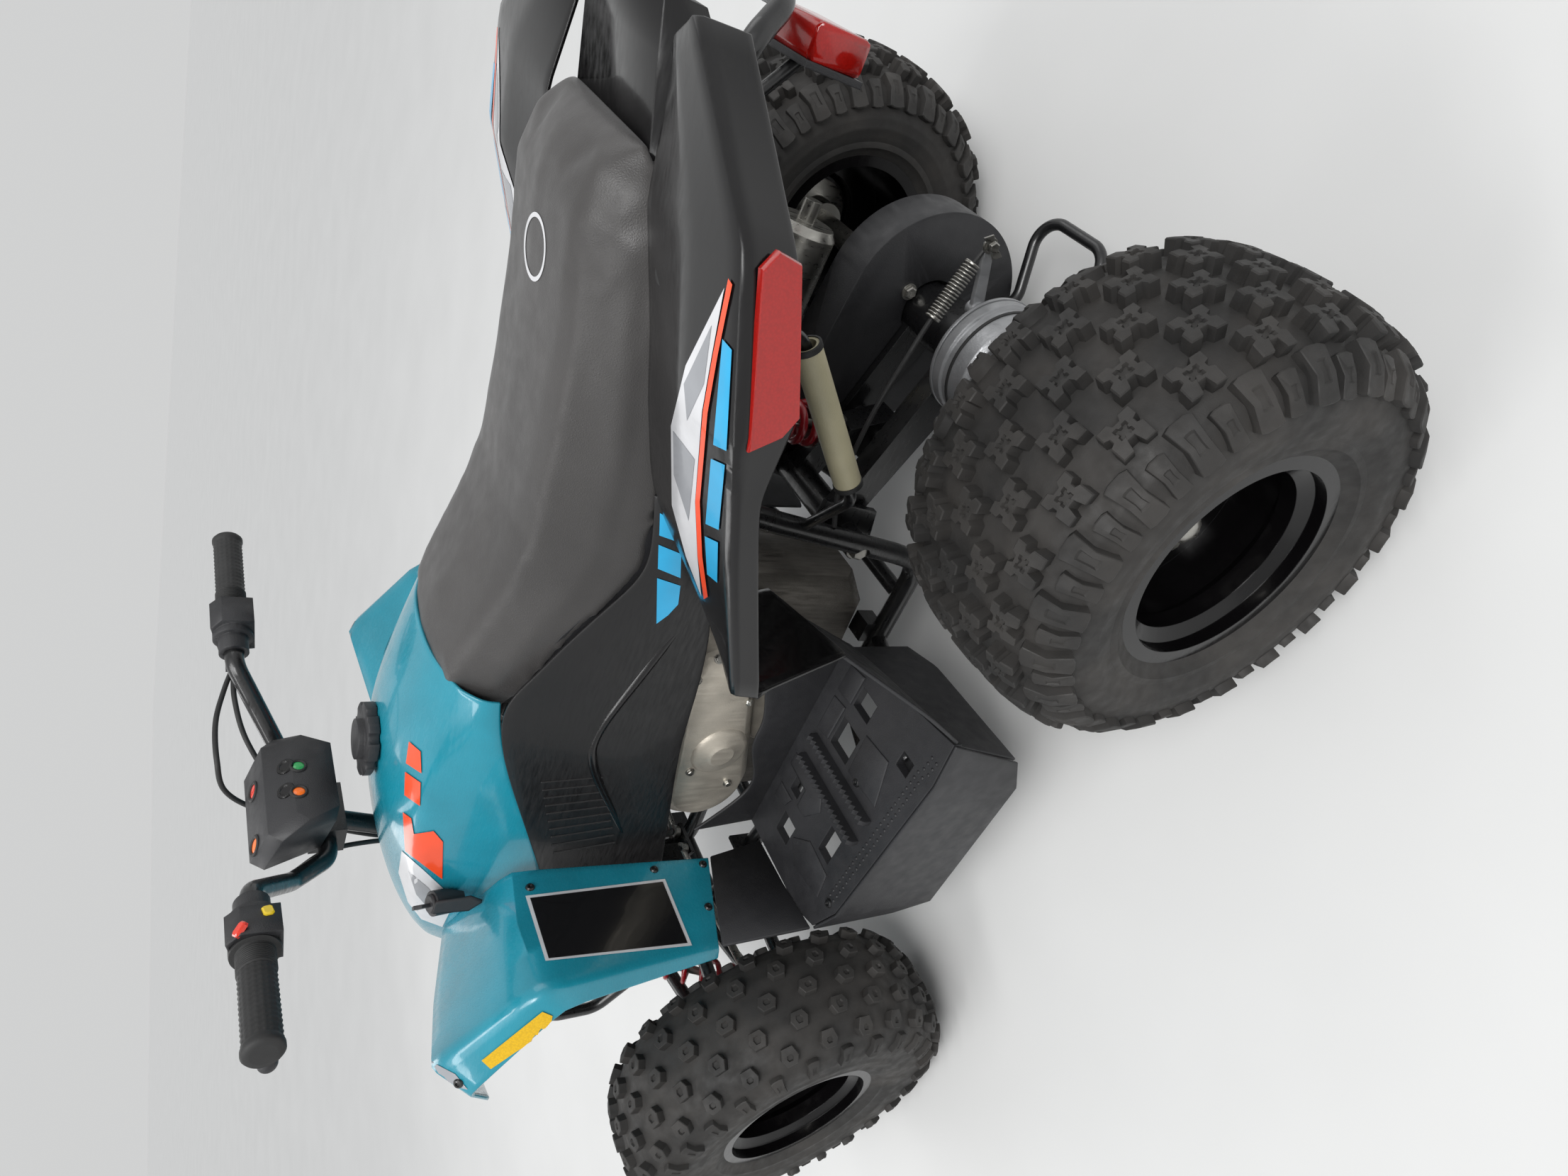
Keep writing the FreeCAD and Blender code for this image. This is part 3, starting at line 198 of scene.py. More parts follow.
def lens(name, colour, cell=520.0, glow=0.0):
    """A reflector or lamp lens: clear gloss over a field of small prisms."""
    look = Shader(name, 0.16, 0, 0.35)
    prisms = look.cells(cell)
    look.tint(prisms, shade(colour, 1.08), shade(colour, 0.84), 1, 0, 0.8)
    look.bump(prisms, 0.2, 0.0002)
    if glow:
        look.set({"Emission Color": shade(colour), "Emission Strength": glow})
    return look.material


def film(name, colour):
    """Printed film on the bodywork: clear coat over slightly uneven ink."""
    look = Shader(name, 0.24, 0, 0.5)
    look.tint(look.noise(30, 4), shade(colour, 0.93), shade(colour, 1.05))
    look.bump(look.noise(420, 2), 0.06, 0.0003)
    return look.material


MATERIALS = {
    "teal": paint("teal_plastic", (26, 134, 154), 0.24, 0.5, 0.002),
    "gloss": paint("gloss_black_plastic", GLOSS_BLACK, 0.18, 0.2, 0.002, 0.4),
    "satin": paint("satin_black_plastic", GLOSS_BLACK, 0.4, 0.1, 0.002),
    "powder": paint("powder_coat", (22, 22, 23), 0.3, 0.35, 0.0012),
    "rim": paint("rim_paint", (10, 9, 10), 0.16, 0.15, 0.0012, 0.3),
    "grey": paint("grey_drum", (128, 124, 120), 0.42, 0.15, 0.0012),
    "spring": paint("spring_red", (150, 20, 30), 0.26, 0.5, 0.0005),
    "matte": grained("matte_plastic", (40, 40, 42), 0.52, 900, 0.0003, 0.002),
    "rubber": grained("soft_rubber", (38, 38, 38), 0.66, 1200, 0.0002, 0.001),
    "cream": grained("cream_sleeve", (196, 188, 156), 0.5, 500, 0.0003, 0.001),
    "cast": metal("cast_alloy", (206, 198, 184), 0.42, 0.0006, 0.0025, 0.55),
    "drum": metal("drum_alloy", (168, 169, 171), 0.4, 0.0005, 0.0025, 0.6),
    "block": metal("engine_casting", (126, 122, 116), 0.5, 0.0006, 0.0025),
    "steel": metal("zinc_plate", (176, 174, 168), 0.32, 0, 0.0008),
    "vinyl": vinyl(),
    "tyre": tyre_rubber(),
    "red_lens": lens("red_reflector", (158, 20, 14)),
    "yellow_lens": lens("yellow_reflector", (214, 170, 8)),
    "clear_lens": lens("lamp_glass", (206, 210, 214), 120),
    "yellow_film": film("yellow_plastic", (232, 200, 40)),
}
for name, colour in (("amber", (238, 110, 20)), ("green", (40, 150, 80)), ("red", (210, 50, 30))):
    MATERIALS[name + "_lamp"] = lens(name + "_lamp", colour, 500, 0.2)
for name, colour in (("orange", (250, 80, 35)), ("white", (214, 214, 216)), ("grey", (150, 152, 156)),
                     ("cyan", (30, 165, 215)), ("black", (18, 18, 20))):
    MATERIALS[name + "_film"] = film(name + "_film", colour)

# The record's material slot that each look stands for, and the CAD nodes that wear the look.
LOOKS = {
    "teal": ("teal_plastic", "front_fenders tank_cover nose_cowl"),
    "gloss": ("black_plastic", "rear_fenders tail_cover"),
    "satin": ("black_plastic", "side_panels"),
    "matte": ("matte_plastic", "chain_guard fuel_cap inner_mudguards instrument_pod key_lock "
              "left_controls right_controls footwells"),
    "powder": ("black_metal", "fender_stays frame front_bumper grab_bar handlebar knuckle_left "
               "knuckle_right lower_arms rear_hoop steering_stem swingarm tail_lamp_stay upper_arms"),
    "rim": ("black_metal", "front_rim_left front_rim_right rear_rim_left rear_rim_right"),
    "cast": ("cast_metal", "engine_cover"),
    "drum": ("cast_metal", "rear_brake_drum rear_brake_panel"),
    "block": ("cast_metal", "engine_block"),
    "grey": ("grey_metal", "front_drum_left front_drum_right"),
    "steel": ("steel", "front_shocks rear_shock muffler rear_axle rear_sprocket tie_rod_left "
              "tie_rod_right"),
    "spring": ("red_metal", "front_springs rear_spring"),
    "tyre": ("tyre", "front_tyre_left front_tyre_right rear_tyre_left rear_tyre_right"),
    "rubber": ("rubber", "grips intake_boot"),
    "cream": ("cream_sleeve", "stay_sleeves"),
    "vinyl": ("seat_vinyl", "seat"),
    "red_lens": ("red_lens", "tail_lamp"),
    "clear_lens": ("clear_lens", "headlamps"),
    "yellow_lens": ("yellow_lens", ""),
}
for look_name, (_, node_names) in LOOKS.items():
    for node_name in node_names.split():
        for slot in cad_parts[node_name].material_slots:
            slot.material = MATERIALS[look_name]


# Building pieces

def placed(point, side=1):
    """A table's point as a place in the scene."""
    x, y, z = point
    return Vector((x / 1000 + AHEAD, side * y / 1000, z / 1000))


def places(points, side=1):
    return [placed(point, side) for point in points]


def flip(vector, side):
    return Vector((vector.x, side * vector.y, vector.z))


def mirrored(half):
    """The other half of a section, whose own half runs from its foot to its crown."""
    return [(x, -y, z) for x, y, z in reversed(half)]


def centre_of(node):
    low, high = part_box(node)
    return (Vector(low) + Vector(high)) / 2


def turns(count, offset=0):
    return [TURN * (i + offset) / count for i in range(count)]


def frame_of(axis):
    axis = Vector(axis).normalized()
    side = axis.orthogonal().normalized()
    return axis, side, axis.cross(side)


def linked(name, data):
    item = bpy.data.objects.new(name, data)
    bpy.context.scene.collection.objects.link(item)
    return item


def make(name, points, faces, look, body="chassis", sharp=35):
    """One mesh object, smooth apart from edges sharper than the angle, riding on a body."""
    mesh = bpy.data.meshes.new(name)
    mesh.from_pydata([tuple(point) for point in points], [], faces)
    mesh.materials.append(MATERIALS[look])
    mesh.shade_smooth()
    mesh.set_sharp_from_angle(angle=math.radians(sharp))
    item = linked(name, mesh)
    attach(item, body)
    return item


def baked(item):
    """Applies the modifiers, so that other pieces can be laid on the finished surface."""
    graph = bpy.context.evaluated_depsgraph_get()
    mesh = bpy.data.meshes.new_from_object(item.evaluated_get(graph))
    item.modifiers.clear()
    item.data = mesh
    mesh.shade_smooth()


def rounded(item, width, angle, sharp, harden=False):
    """Rounds the edges sharper than an angle, applies the modifiers and marks what stays sharp."""
    bevel = item.modifiers.new("round", "BEVEL")
    bevel.width = width
    bevel.segments = 2
    bevel.limit_method = "ANGLE"
    bevel.angle_limit = math.radians(angle)
    bevel.harden_normals = harden
    baked(item)
    item.data.set_sharp_from_angle(angle=math.radians(sharp))


class Pile:
    """Small pieces of one look, gathered into one object."""

    def __init__(self, name, look, body="chassis"):
        self.name, self.look, self.body = name, look, body
        self.points, self.faces = [], []

    def skin(self, rows, ring=True, loop=False, caps=2):
        """Covers rows of points. ring closes each row, loop joins the last row to the first, and
        caps closes no end, the last end or both."""
        start, wide, count = len(self.points), len(rows[0]), len(rows)
        self.points += [Vector(point) for row in rows for point in row]
        for i in range(count if loop else count - 1):
            near, far = start + i * wide, start + (i + 1) % count * wide
            for j in range(wide if ring else wide - 1):
                k = (j + 1) % wide
                self.faces.append((near + j, near + k, far + k, far + j))
        if caps > 1:
            self.faces.append(tuple(range(start, start + wide)))
        if caps:
            self.faces.append(tuple(range(start + (count - 1) * wide, start + count * wide)))
        return self

    def lathe(self, profile, origin, axis, steps=24, wave=None):
        """Turns (radius, distance) rows about an axis. A profile that starts off the axis is a ring."""
        axis, side, other = frame_of(axis)
        rows = []
        for angle in turns(steps):
            out = side * math.cos(angle) + other * math.sin(angle)
            rows.append([])
            for radius, along in profile:
                extra = wave(angle, along) if wave and radius else 0
                rows[-1].append(Vector(origin) + axis * along + out * (radius + extra))
        return self.skin(rows, profile[0][0] > 0, True, 0)

    def sweep(self, path, radius, steps=10):
        """A round rod through a row of points, with its ends closed."""
        rows, side = [], None
        for i, point in enumerate(path):
            way = (path[min(i + 1, len(path) - 1)] - path[max(i - 1, 0)]).normalized()
            side = way.orthogonal() if side is None else side - way * side.dot(way)
            side.normalize()
            other = way.cross(side)
            rows.append([point + (side * math.cos(angle) + other * math.sin(angle)) * radius
                         for angle in turns(steps)])
        return self.skin(rows)

    def plate(self, outline, thickness, chamfer=0.0):
        """A flat plate with a chamfered upper rim. thickness is a vector from the outline."""
        thickness = Vector(thickness)
        middle = sum(outline, Vector()) / len(outline)
        rows = [outline]
        if chamfer:
            rows.append([p + thickness * 0.7 for p in outline])
        rows.append([p + (middle - p).normalized() * chamfer + thickness for p in outline])
        return self.skin(rows)

    def hex_bolt(self, place, axis, size, height):
        """A washer with a hexagon head on it."""
        washer = size * 1.25
        self.lathe([(0, 0.0012), (washer, 0.0012), (washer, -0.001), (0, -0.001)], place, axis, 20)
        self.lathe([(0, height), (size * 0.8, height), (size, height * 0.8), (size, 0), (0, 0)],
                   place, axis, 6)

    def screw(self, place, axis, size):
        """A round-headed screw with a sunk round socket."""
        self.lathe([(0, size * 0.2), (size * 0.4, size * 0.2), (size * 0.45, size * 0.55),
                    (size * 0.8, size * 0.5), (size, size * 0.2), (size, -size * 0.3), (0, -size * 0.3)],
                   place, axis, 18)

    def done(self, sharp=35, weld=0.00002):
        """Makes the object: its doubled points are joined and its faces turned outward."""
        item = make(self.name, self.points, self.faces, self.look, self.body, sharp)
        work = bmesh.new()
        work.from_mesh(item.data)
        if weld:
            bmesh.ops.remove_doubles(work, verts=work.verts, dist=weld)
            bmesh.ops.dissolve_degenerate(work, edges=work.edges, dist=weld)
        bmesh.ops.recalc_face_normals(work, faces=work.faces)
        work.to_mesh(item.data)
        work.free()
        if weld:
            item.data.shade_smooth()
            item.data.set_sharp_from_angle(angle=math.radians(sharp))
        return item


# Tyres

X_BLOCK = [(1, 0.95), (0.38, 0.95), (0.22, 0.6), (-0.22, 0.6), (-0.38, 0.95), (-1, 0.95), (-1, 0.3),
           (-0.72, 0.16), (-0.72, -0.16), (-1, -0.3), (-1, -0.95), (-0.38, -0.95), (-0.22, -0.6),
           (0.22, -0.6), (0.38, -0.95), (1, -0.95), (1, -0.3), (0.72, -0.16), (0.72, 0.16), (1, 0.3)]
HEX_BLOCK = [(1, 0), (0.62, 0.9), (-0.62, 0.9), (-1, 0), (-0.62, -0.9), (0.62, -0.9)]
LUG_BLOCK = [(1, 0.9), (0.5, 1), (-0.5, 1), (-1, 0.9), (-0.8, 0), (-1, -0.9), (-0.5, -1), (0.5, -1),
             (1, -0.9), (0.8, 0)]
# A block's rings above its foot: size, and height as a share of the block's. The top is recessed.
BLOCK_RINGS = ((1.0, 0.92), (0.93, 1.0), (0.4, 1.0), (0.3, 0.8))
BLOCK_FOOT = -0.002


def profile_point(profile, along):
    """The (radius, side) and outward normal at a share, 0 to 1, of the profile's length."""
    spans = [math.dist(a, b) for a, b in zip(profile, profile[1:])]
    left = along * sum(spans)
    for (a, b), span in zip(zip(profile, profile[1:]), spans):
        if left <= span or b == profile[-1]:
            t = min(left / span, 1)
            normal = Vector((a[1] - b[1], b[0] - a[0])).normalized()
            return Vector((a[0] + (b[0] - a[0]) * t, a[1] + (b[1] - a[1]) * t)), normal
        left -= span


def tyre_section(radius, half, depth):
    """The carcass from bead to bead: (radius, side) points of a rounded section."""
    tread = radius - depth
    side = [(0.103, 0.78), (0.112, 0.86), (0.121, 0.905), (0.124, 0.94), (0.128, 0.945), (0.130, 0.93),
            (0.137, 0.955), (0.146, 0.972), (0.148, 0.986), (0.151, 0.986), (0.153, 0.974),
            (tread - 0.052, 0.985), (tread - 0.034, 0.95), (tread - 0.020, 0.86), (tread - 0.008, 0.66),
            (tread - 0.002, 0.4), (tread, 0.14)]
    side = [(r, half * share) for r, share in side]
    return side + [(r, -s) for r, s in reversed(side)]


def build_tyre(name, node, body, half, depth, rows, count):
    """A whole tyre: carcass, sidewall rings and tread blocks laid along its section.

    Each row: block outline, distance from the section's middle as a share of its length, half
    sizes round and across, share of the full depth, and offset round the tyre in pitches.
    """
    centre = centre_of(node)
    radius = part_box(node)[1][2] - centre.z
    section = tyre_section(radius, half, depth)
    length = sum(math.dist(a, b) for a, b in zip(section, section[1:]))
    pile = Pile(name, "tyre", body)

    def around(angle, place):
        r, s = place
        return Vector((r * math.cos(angle), s, r * math.sin(angle))) + centre

    fine = [profile_point(section, i / 100)[0] for i in range(101)]
    pile.skin([[around(angle, place) for place in fine] for angle in turns(120)], loop=True, caps=0)
    rows = [(0.5 + way * row[1], row) for row in rows for way in ((-1, 1) if row[1] else (1,))]
    for across, (outline, _, half_u, half_v, share, offset) in rows:
        heights = [(1.08, BLOCK_FOOT)] + [(size, depth * share * part) for size, part in BLOCK_RINGS]
        for angle in turns(count, offset):
            rings = []
            for size, height in heights:
                rings.append([])
                for u, v in outline:
                    at, normal = profile_point(section, across + v * size * half_v / length)
                    rings[-1].append(around(angle + u * size * half_u / radius, at + normal * height))
            pile.skin(rings, caps=1)
    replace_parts(pile.done(28, weld=0), node)


REAR_ROWS = [
    (X_BLOCK, 0, 0.0162, 0.0136, 1.0, 0.0), (X_BLOCK, 0.085, 0.0162, 0.0136, 1.0, 0.5),
    (X_BLOCK, 0.168, 0.0162, 0.0136, 1.0, 0.0), (LUG_BLOCK, 0.254, 0.013, 0.020, 0.62, 0.5),
    (LUG_BLOCK, 0.268, 0.0095, 0.016, 0.42, 0.0),
]
FRONT_ROWS = [
    (HEX_BLOCK, 0, 0.0128, 0.0105, 1.0, 0.0), (HEX_BLOCK, 0.088, 0.0122, 0.0105, 1.0, 0.5),
    (HEX_BLOCK, 0.170, 0.0122, 0.0102, 1.0, 0.0), (LUG_BLOCK, 0.250, 0.009, 0.014, 0.62, 0.5),
]
for side_name, side in SIDES:
    build_tyre("tyre_tread_rear_" + side_name, "rear_tyre_" + side_name, "rear_axle",
               0.1161, 0.015, REAR_ROWS, 22)
    build_tyre("tyre_tread_front_" + side_name, "front_tyre_" + side_name,
               "wheel_front_" + side_name, 0.0825, 0.011, FRONT_ROWS, 26)


# Bodywork

PANEL = 0.004
RIM = 0.0012


def sheet(name, node, rows, look, side, along, across):
    """A panel through rows of points, with its thickness inward and a rounded rim, which stands
    for a CAD node. along and across give the creases of rows and columns."""
    wide = len(rows[0])
    pile = Pile(name, look).skin([places(row, side) for row in rows], False, caps=0)
    faces = pile.faces if side > 0 else [face[::-1] for face in pile.faces]
    item = make(name, pile.points, faces, look)
    work = bmesh.new()
    work.from_mesh(item.data)
    crease = work.edges.layers.float.new("crease_edge")
    for edge in work.edges:
        a, b = (vert.index for vert in edge.verts)
        edge[crease] = along.get(a // wide, 0) if a // wide == b // wide else across.get(a % wide, 0)
    work.to_mesh(item.data)
    work.free()
    smooth = item.modifiers.new("smooth", "SUBSURF")
    smooth.levels = smooth.render_levels = 3
    smooth.boundary_smooth = "PRESERVE_CORNERS"
    solid = item.modifiers.new("thick", "SOLIDIFY")
    solid.thickness = PANEL
    solid.offset = -1
    solid.use_even_offset = True
    rounded(item, RIM, 60, 48)
    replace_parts(item, node)
    return item


# Each row: x, top height and half width, shoulder height and half width, lower edge height
# and half width.
TANK = [
    (480, 682, 44, 662, 76, 612, 96), (400, 716, 58, 694, 112, 596, 140),
    (300, 748, 62, 716, 130, 556, 160), (190, 766, 64, 734, 130, 604, 163),
    (110, 764, 62, 732, 122, 645, 156), (30, 752, 60, 728, 112, 676, 142),
    (-14, 742, 56, 722, 106, 682, 130),
]
# Rows from the front tip to the rear foot. Columns: inner edge, crease, outer crease, outer edge.
FRONT_FENDER = [
    [(620, 92, 552), (592, 176, 572), (470, 292, 636), (352, 372, 668)],
    [(410, 120, 660), (380, 236, 698), (300, 350, 735), (304, 384, 700)],
    [(215, 184, 632), (200, 262, 648), (175, 359, 652), (190, 374, 628)],
    [(222, 200, 370), (218, 264, 392), (215, 330, 414), (223, 337, 416)],
]
# Rows from front to rear. Columns: inner edge, crease, outer edge, lower outer edge.
REAR_FENDER = [
    [(-200, 152, 434), (-223, 232, 437), (-243, 302, 440), (-248, 312, 446)],
    [(-184, 158, 505), (-212, 262, 546), (-240, 348, 583), (-242, 354, 562)],
    [(-302, 146, 604), (-330, 268, 632), (-370, 354, 640), (-372, 355, 620)],
    [(-400, 146, 640), (-420, 276, 668), (-434, 357, 665), (-438, 358, 648)],
    [(-460, 146, 658), (-470, 280, 688), (-480, 359, 684), (-504, 353, 644)],
    [(-560, 146, 694), (-575, 250, 706), (-592, 322, 706), (-590, 322, 667)],
    [(-650, 122, 694), (-672, 150, 712), (-688, 182, 718), (-690, 196, 684)],
]
# Each row: x, upper edge height and side, lower edge height and side.
SIDE_PANEL = [(262, 576, 163, 412, 164), (150, 626, 157, 440, 168), (40, 676, 146, 466, 166),
              (-20, 684, 136, 472, 164), (-60, 662, 140, 476, 163), (-110, 640, 142, 484, 162),
              (-170, 607, 146, 497, 160), (-214, 584, 150, 530, 158), (-262, 593, 149, 560, 157),
              (-304, 604, 148, 594, 153)]


def tank_cover():
    rows = []
    for x, top, top_y, mid, mid_y, low, low_y in reversed(TANK):
        half = [(x, low_y, low), (x, (mid_y + low_y) / 2 + 10, (mid + low) / 2), (x, mid_y, mid),
                (x, top_y, top)]
        rows.append(half + [(x, 0, top + 3)] + mirrored(half))
    return sheet("tank_shell", "tank_cover", rows, "teal", 1, {}, {2: 0.45, 6: 0.45})


def fenders_and_panels():
    """The front fender, the rear fender and the side panel of each side."""
    panel = [[(x, low_y, low), (x, (low_y + high_y) / 2 + 5, (low + high) / 2), (x, high_y, high)]
             for x, high, high_y, low, low_y in reversed(SIDE_PANEL)]
    kinds = (("front_fender", "teal", FRONT_FENDER, {1: 0.7, 2: 0.95}, {1: 0.95, 2: 0.6}),
             ("rear_fender", "gloss", REAR_FENDER, {1: 1, 2: 0.3, 3: 0.4, 4: 0.8, 5: 0.6},
              {1: 0.9, 2: 0.9}),
             ("side_panel", "satin", panel, {}, {}))
    return {side_name: [sheet(name + "_" + side_name, name + "s", [row[::-1] for row in rows], look,
                              side, along, across)
                        for name, look, rows, along, across in kinds]
            for side_name, side in SIDES}


tank = tank_cover()
shells = fenders_and_panels()


# Seat

# Each row: x, lower edge height and side, crest height and side, crown height.
SEAT = [(22, 668, 102, 728, 80, 734), (-20, 656, 122, 732, 96, 740), (-60, 648, 132, 724, 102, 733),
        (-110, 634, 141, 712, 106, 720), (-158, 609, 145, 702, 109, 708), (-212, 584, 147, 696, 111, 701),
        (-305, 599, 150, 701, 113, 706), (-421, 636, 150, 711, 112, 717), (-516, 660, 142, 726, 102, 732),
        (-560, 672, 124, 722, 90, 730), (-588, 686, 100, 702, 74, 708)]
SEAT_GRAIN = 0.0055
COVER_FRAMES = 20
COVER_REACH = 0.003


def seat_pad():
    """The foam seat: its cover is drawn tight by pressure from inside, like an upholstered pad."""
    rings = []
    for x, low, low_y, crest, crest_y, crown in SEAT:
        half = [(x, low_y, low), (x, (low_y + crest_y) / 2 + 11, low + (crest - low) * 0.45),
                (x, crest_y, crest)]
        rings.append(places(half + [(x, 0, crown)] + mirrored(half)))
    item = Pile("seat_cushion", "vinyl").skin(rings).done(weld=0)
    remesh = item.modifiers.new("even", "REMESH")
    remesh.mode = "VOXEL"
    remesh.voxel_size = SEAT_GRAIN
    item.modifiers.new("ease", "SMOOTH").iterations = 7
    baked(item)
    inflate(item)
    item.modifiers.new("settle", "SMOOTH").iterations = 4
    finer = item.modifiers.new("finer", "SUBSURF")
    finer.levels = finer.render_levels = 1
    baked(item)
    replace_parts(item, "seat")
    return item


def inflate(item):
    """Runs cloth with pressure from inside, and lets no point move further than COVER_REACH."""
    start = [vert.co.copy() for vert in item.data.vertices]
    held = item.vertex_groups.new(name="held")
    for vert in item.data.vertices:
        if vert.normal.z < -0.5:
            held.add([vert.index], 1.0, "REPLACE")
    cloth = item.modifiers.new("cover", "CLOTH")
    cover = cloth.settings
    cover.quality = 5
    cover.use_pressure = True
    cover.uniform_pressure_force = 4
    cover.vertex_group_mass = "held"
    cover.effector_weights.gravity = 0
    cover.tension_stiffness = cover.compression_stiffness = 60
    cover.bending_stiffness = 2
    cloth.point_cache.frame_start, cloth.point_cache.frame_end = 1, COVER_FRAMES
    scene = bpy.context.scene
    for number in range(1, COVER_FRAMES + 1):
        scene.frame_set(number)
    baked(item)
    scene.frame_set(1)
    for vert, first in zip(item.data.vertices, start):
        moved = vert.co - first
        if moved.length > COVER_REACH:
            vert.co = first + moved * (COVER_REACH / moved.length)


def seat_base():
    """The seat's plastic base, just inside its lower edge."""
    rings = []
    for x, low, low_y, *_ in SEAT[:-1]:
        half = [(x - 4, low_y - 14, low - 24), (x - 4, low_y - 5, low - 16), (x - 4, low_y - 4, low + 10)]
        rings.append(places(half + mirrored(half)))
    Pile("seat_base", "matte").skin(rings).done(weld=0)


seat = seat_pad()
seat_base()


# Details

# The camera's place, and the photograph's own right, down and forward. The picture stands
# upright here and is 1517 wide, and the numbers are its middle and its focal length.
VIEW = Vector((-0.7718, 0.8419, 1.0084))
ACROSS = Vector((-0.77636, -0.62961, 0.02934))
DOWN = Vector((-0.37327, 0.42177, -0.8263))
FORWARD = Vector((0.50787, -0.65246, -0.56246))
MIDDLE, FOCAL = (758.7, 773.8), 1234.1
# How far printed work stands off the surface under it, by layer, and the longest edge of its
# faces on the photograph.
LIFT, SECOND, THIRD = 0.0007, 0.001, 0.0012
LONGEST = 9


def sight(x, y):
    """The direction from the camera through a place on the photograph."""
    across = ACROSS * ((x - MIDDLE[0]) / FOCAL)
    down = DOWN * ((y - MIDDLE[1]) / FOCAL)
    return (FORWARD + across + down).normalized()


def tree_of(*items):
    points, faces = [], []
    for item in items:
        start = len(points)
        points += [vert.co.copy() for vert in item.data.vertices]
        faces += [tuple(start + i for i in face.vertices) for face in item.data.polygons]
    return bvhtree.BVHTree.FromPolygons(points, faces)


def facing(normal, way):
    return -normal if normal.dot(way) > 0 else normal


def touch(tree, x, y):
    """Where the sight line meets a surface, with the surface's normal turned to the camera."""
    way = sight(x, y)
    place, normal, _, _ = tree.ray_cast(VIEW, way)
    return None if place is None else (place, facing(normal, way))


def landed(tree, *spots):
    """The places and normals where the sight lines do meet a surface."""
    return [found for found in (touch(tree, *spot) for spot in spots) if found]


def laid(name, tree, spots, faces, look, lift, both=True):
    """Lays flat work drawn on the photograph on the surface under it, on both sides of the bike."""
    found = [touch(tree, *spot) for spot in spots]
    known = [(place - VIEW).length for place, _ in filter(None, found)]
    depth = sum(known) / len(known)
    points = []
    for spot, hit in zip(spots, found):
        if hit is None:
            way = sight(*spot)
            near, normal, _, _ = tree.find_nearest(VIEW + way * depth)
            hit = near, facing(normal, way)
        points.append(hit[0] + hit[1] * lift)
    make(name + "_left", points, faces, look)
    if both:
        make(name + "_right", [flip(p, -1) for p in points], [face[::-1] for face in faces], look)


def decal(name, tree, outline, look, lift):
    """A printed patch: its outline on the photograph is filled with small faces and laid down."""
    work = bmesh.new()
    work.faces.new([work.verts.new((x, y, 0)) for x, y in outline])
    bmesh.ops.triangulate(work, faces=work.faces)
    for _ in range(7):
        long_edges = [edge for edge in work.edges if edge.calc_length() > LONGEST]
        if not long_edges:
            break
        bmesh.ops.subdivide_edges(work, edges=long_edges, cuts=1)
        bmesh.ops.triangulate(work, faces=work.faces)
    work.verts.index_update()
    spots = [(vert.co.x, vert.co.y) for vert in work.verts]
    faces = [tuple(vert.index for vert in face.verts) for face in work.faces]
    work.free()
    laid(name, tree, spots, faces, look, lift)


def softened(node, look, width, body="chassis"):
    """A moulded or cast copy of a CAD node: the same form with its edges rounded."""
    item = linked(node + "_moulded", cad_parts[node].data.copy())
    item.data.materials.clear()
    item.data.materials.append(MATERIALS[look])
    work = bmesh.new()
    work.from_mesh(item.data)
    bmesh.ops.remove_doubles(work, verts=work.verts, dist=0.00005)
    bmesh.ops.dissolve_limit(work, angle_limit=math.radians(1.5), verts=work.verts, edges=work.edges)
    work.to_mesh(item.data)
    work.free()
    rounded(item, width, 30, 40, True)
    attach(item, body)
    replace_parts(item, node)
    return item


# The moulded pieces whose edges are rounded. Each row: node, look, edge radius, and body.
MOULDED = [
    ("left_controls", "matte", 0.003, "steering"), ("right_controls", "matte", 0.003, "steering"),
    ("instrument_pod", "matte", 0.006, "steering"), ("engine_cover", "cast", 0.006),
    ("inner_mudguards", "matte", 0.002), ("chain_guard", "matte", 0.004),
    ("tail_cover", "gloss", 0.003), ("nose_cowl", "teal", 0.006), ("tail_lamp", "red_lens", 0.006),
    ("fuel_cap", "matte", 0.0025), ("engine_block", "block", 0.003),
]
moulded = {row[0]: softened(*row) for row in MOULDED}


# The foot board's height, outline and drain holes: middle along and across, length, width.
FLOOR = 282
FLOOR_OUTLINE = [(214, 152), (214, 300), (200, 334), (150, 352), (-100, 366), (-158, 360), (-124, 200),
                 (-112, 152)]
DRAINS = ((156, 214, 34, 30), (96, 196, 24, 20), (96, 290, 44, 26), (-24, 226, 44, 40),
          (-84, 226, 30, 34), (-84, 320, 22, 22))
SKIRT = [[(202, 334, 281), (152, 352, 281), (-100, 366, 281), (-158, 360, 281)],
         [(192, 340, 160), (148, 358, 130), (-90, 372, 150), (-128, 366, 170)]]
FLAP = [[(-112, 152, 279), (-124, 200, 279), (-158, 360, 279)],
        [(-116, 156, 186), (-126, 205, 176), (-130, 364, 170)]]
WING = [[(-112, 152, 278), (-124, 200, 278), (-158, 360, 278)],
        [(-150, 152, 370), (-172, 250, 356), (-190, 348, 332)],
        [(-190, 152, 438), (-217, 236, 442), (-238, 304, 445)]]
INNER_WALL = [[(214, 152, 272), (164, 152, 272), (126, 152, 272), (60, 152, 272), (22, 152, 272),
               (-35, 152, 272), (-112, 152, 272)],
              [(214, 158, 376), (164, 154, 322), (126, 152, 308), (60, 152, 352), (22, 152, 342),
               (-35, 152, 366), (-190, 152, 438)]]


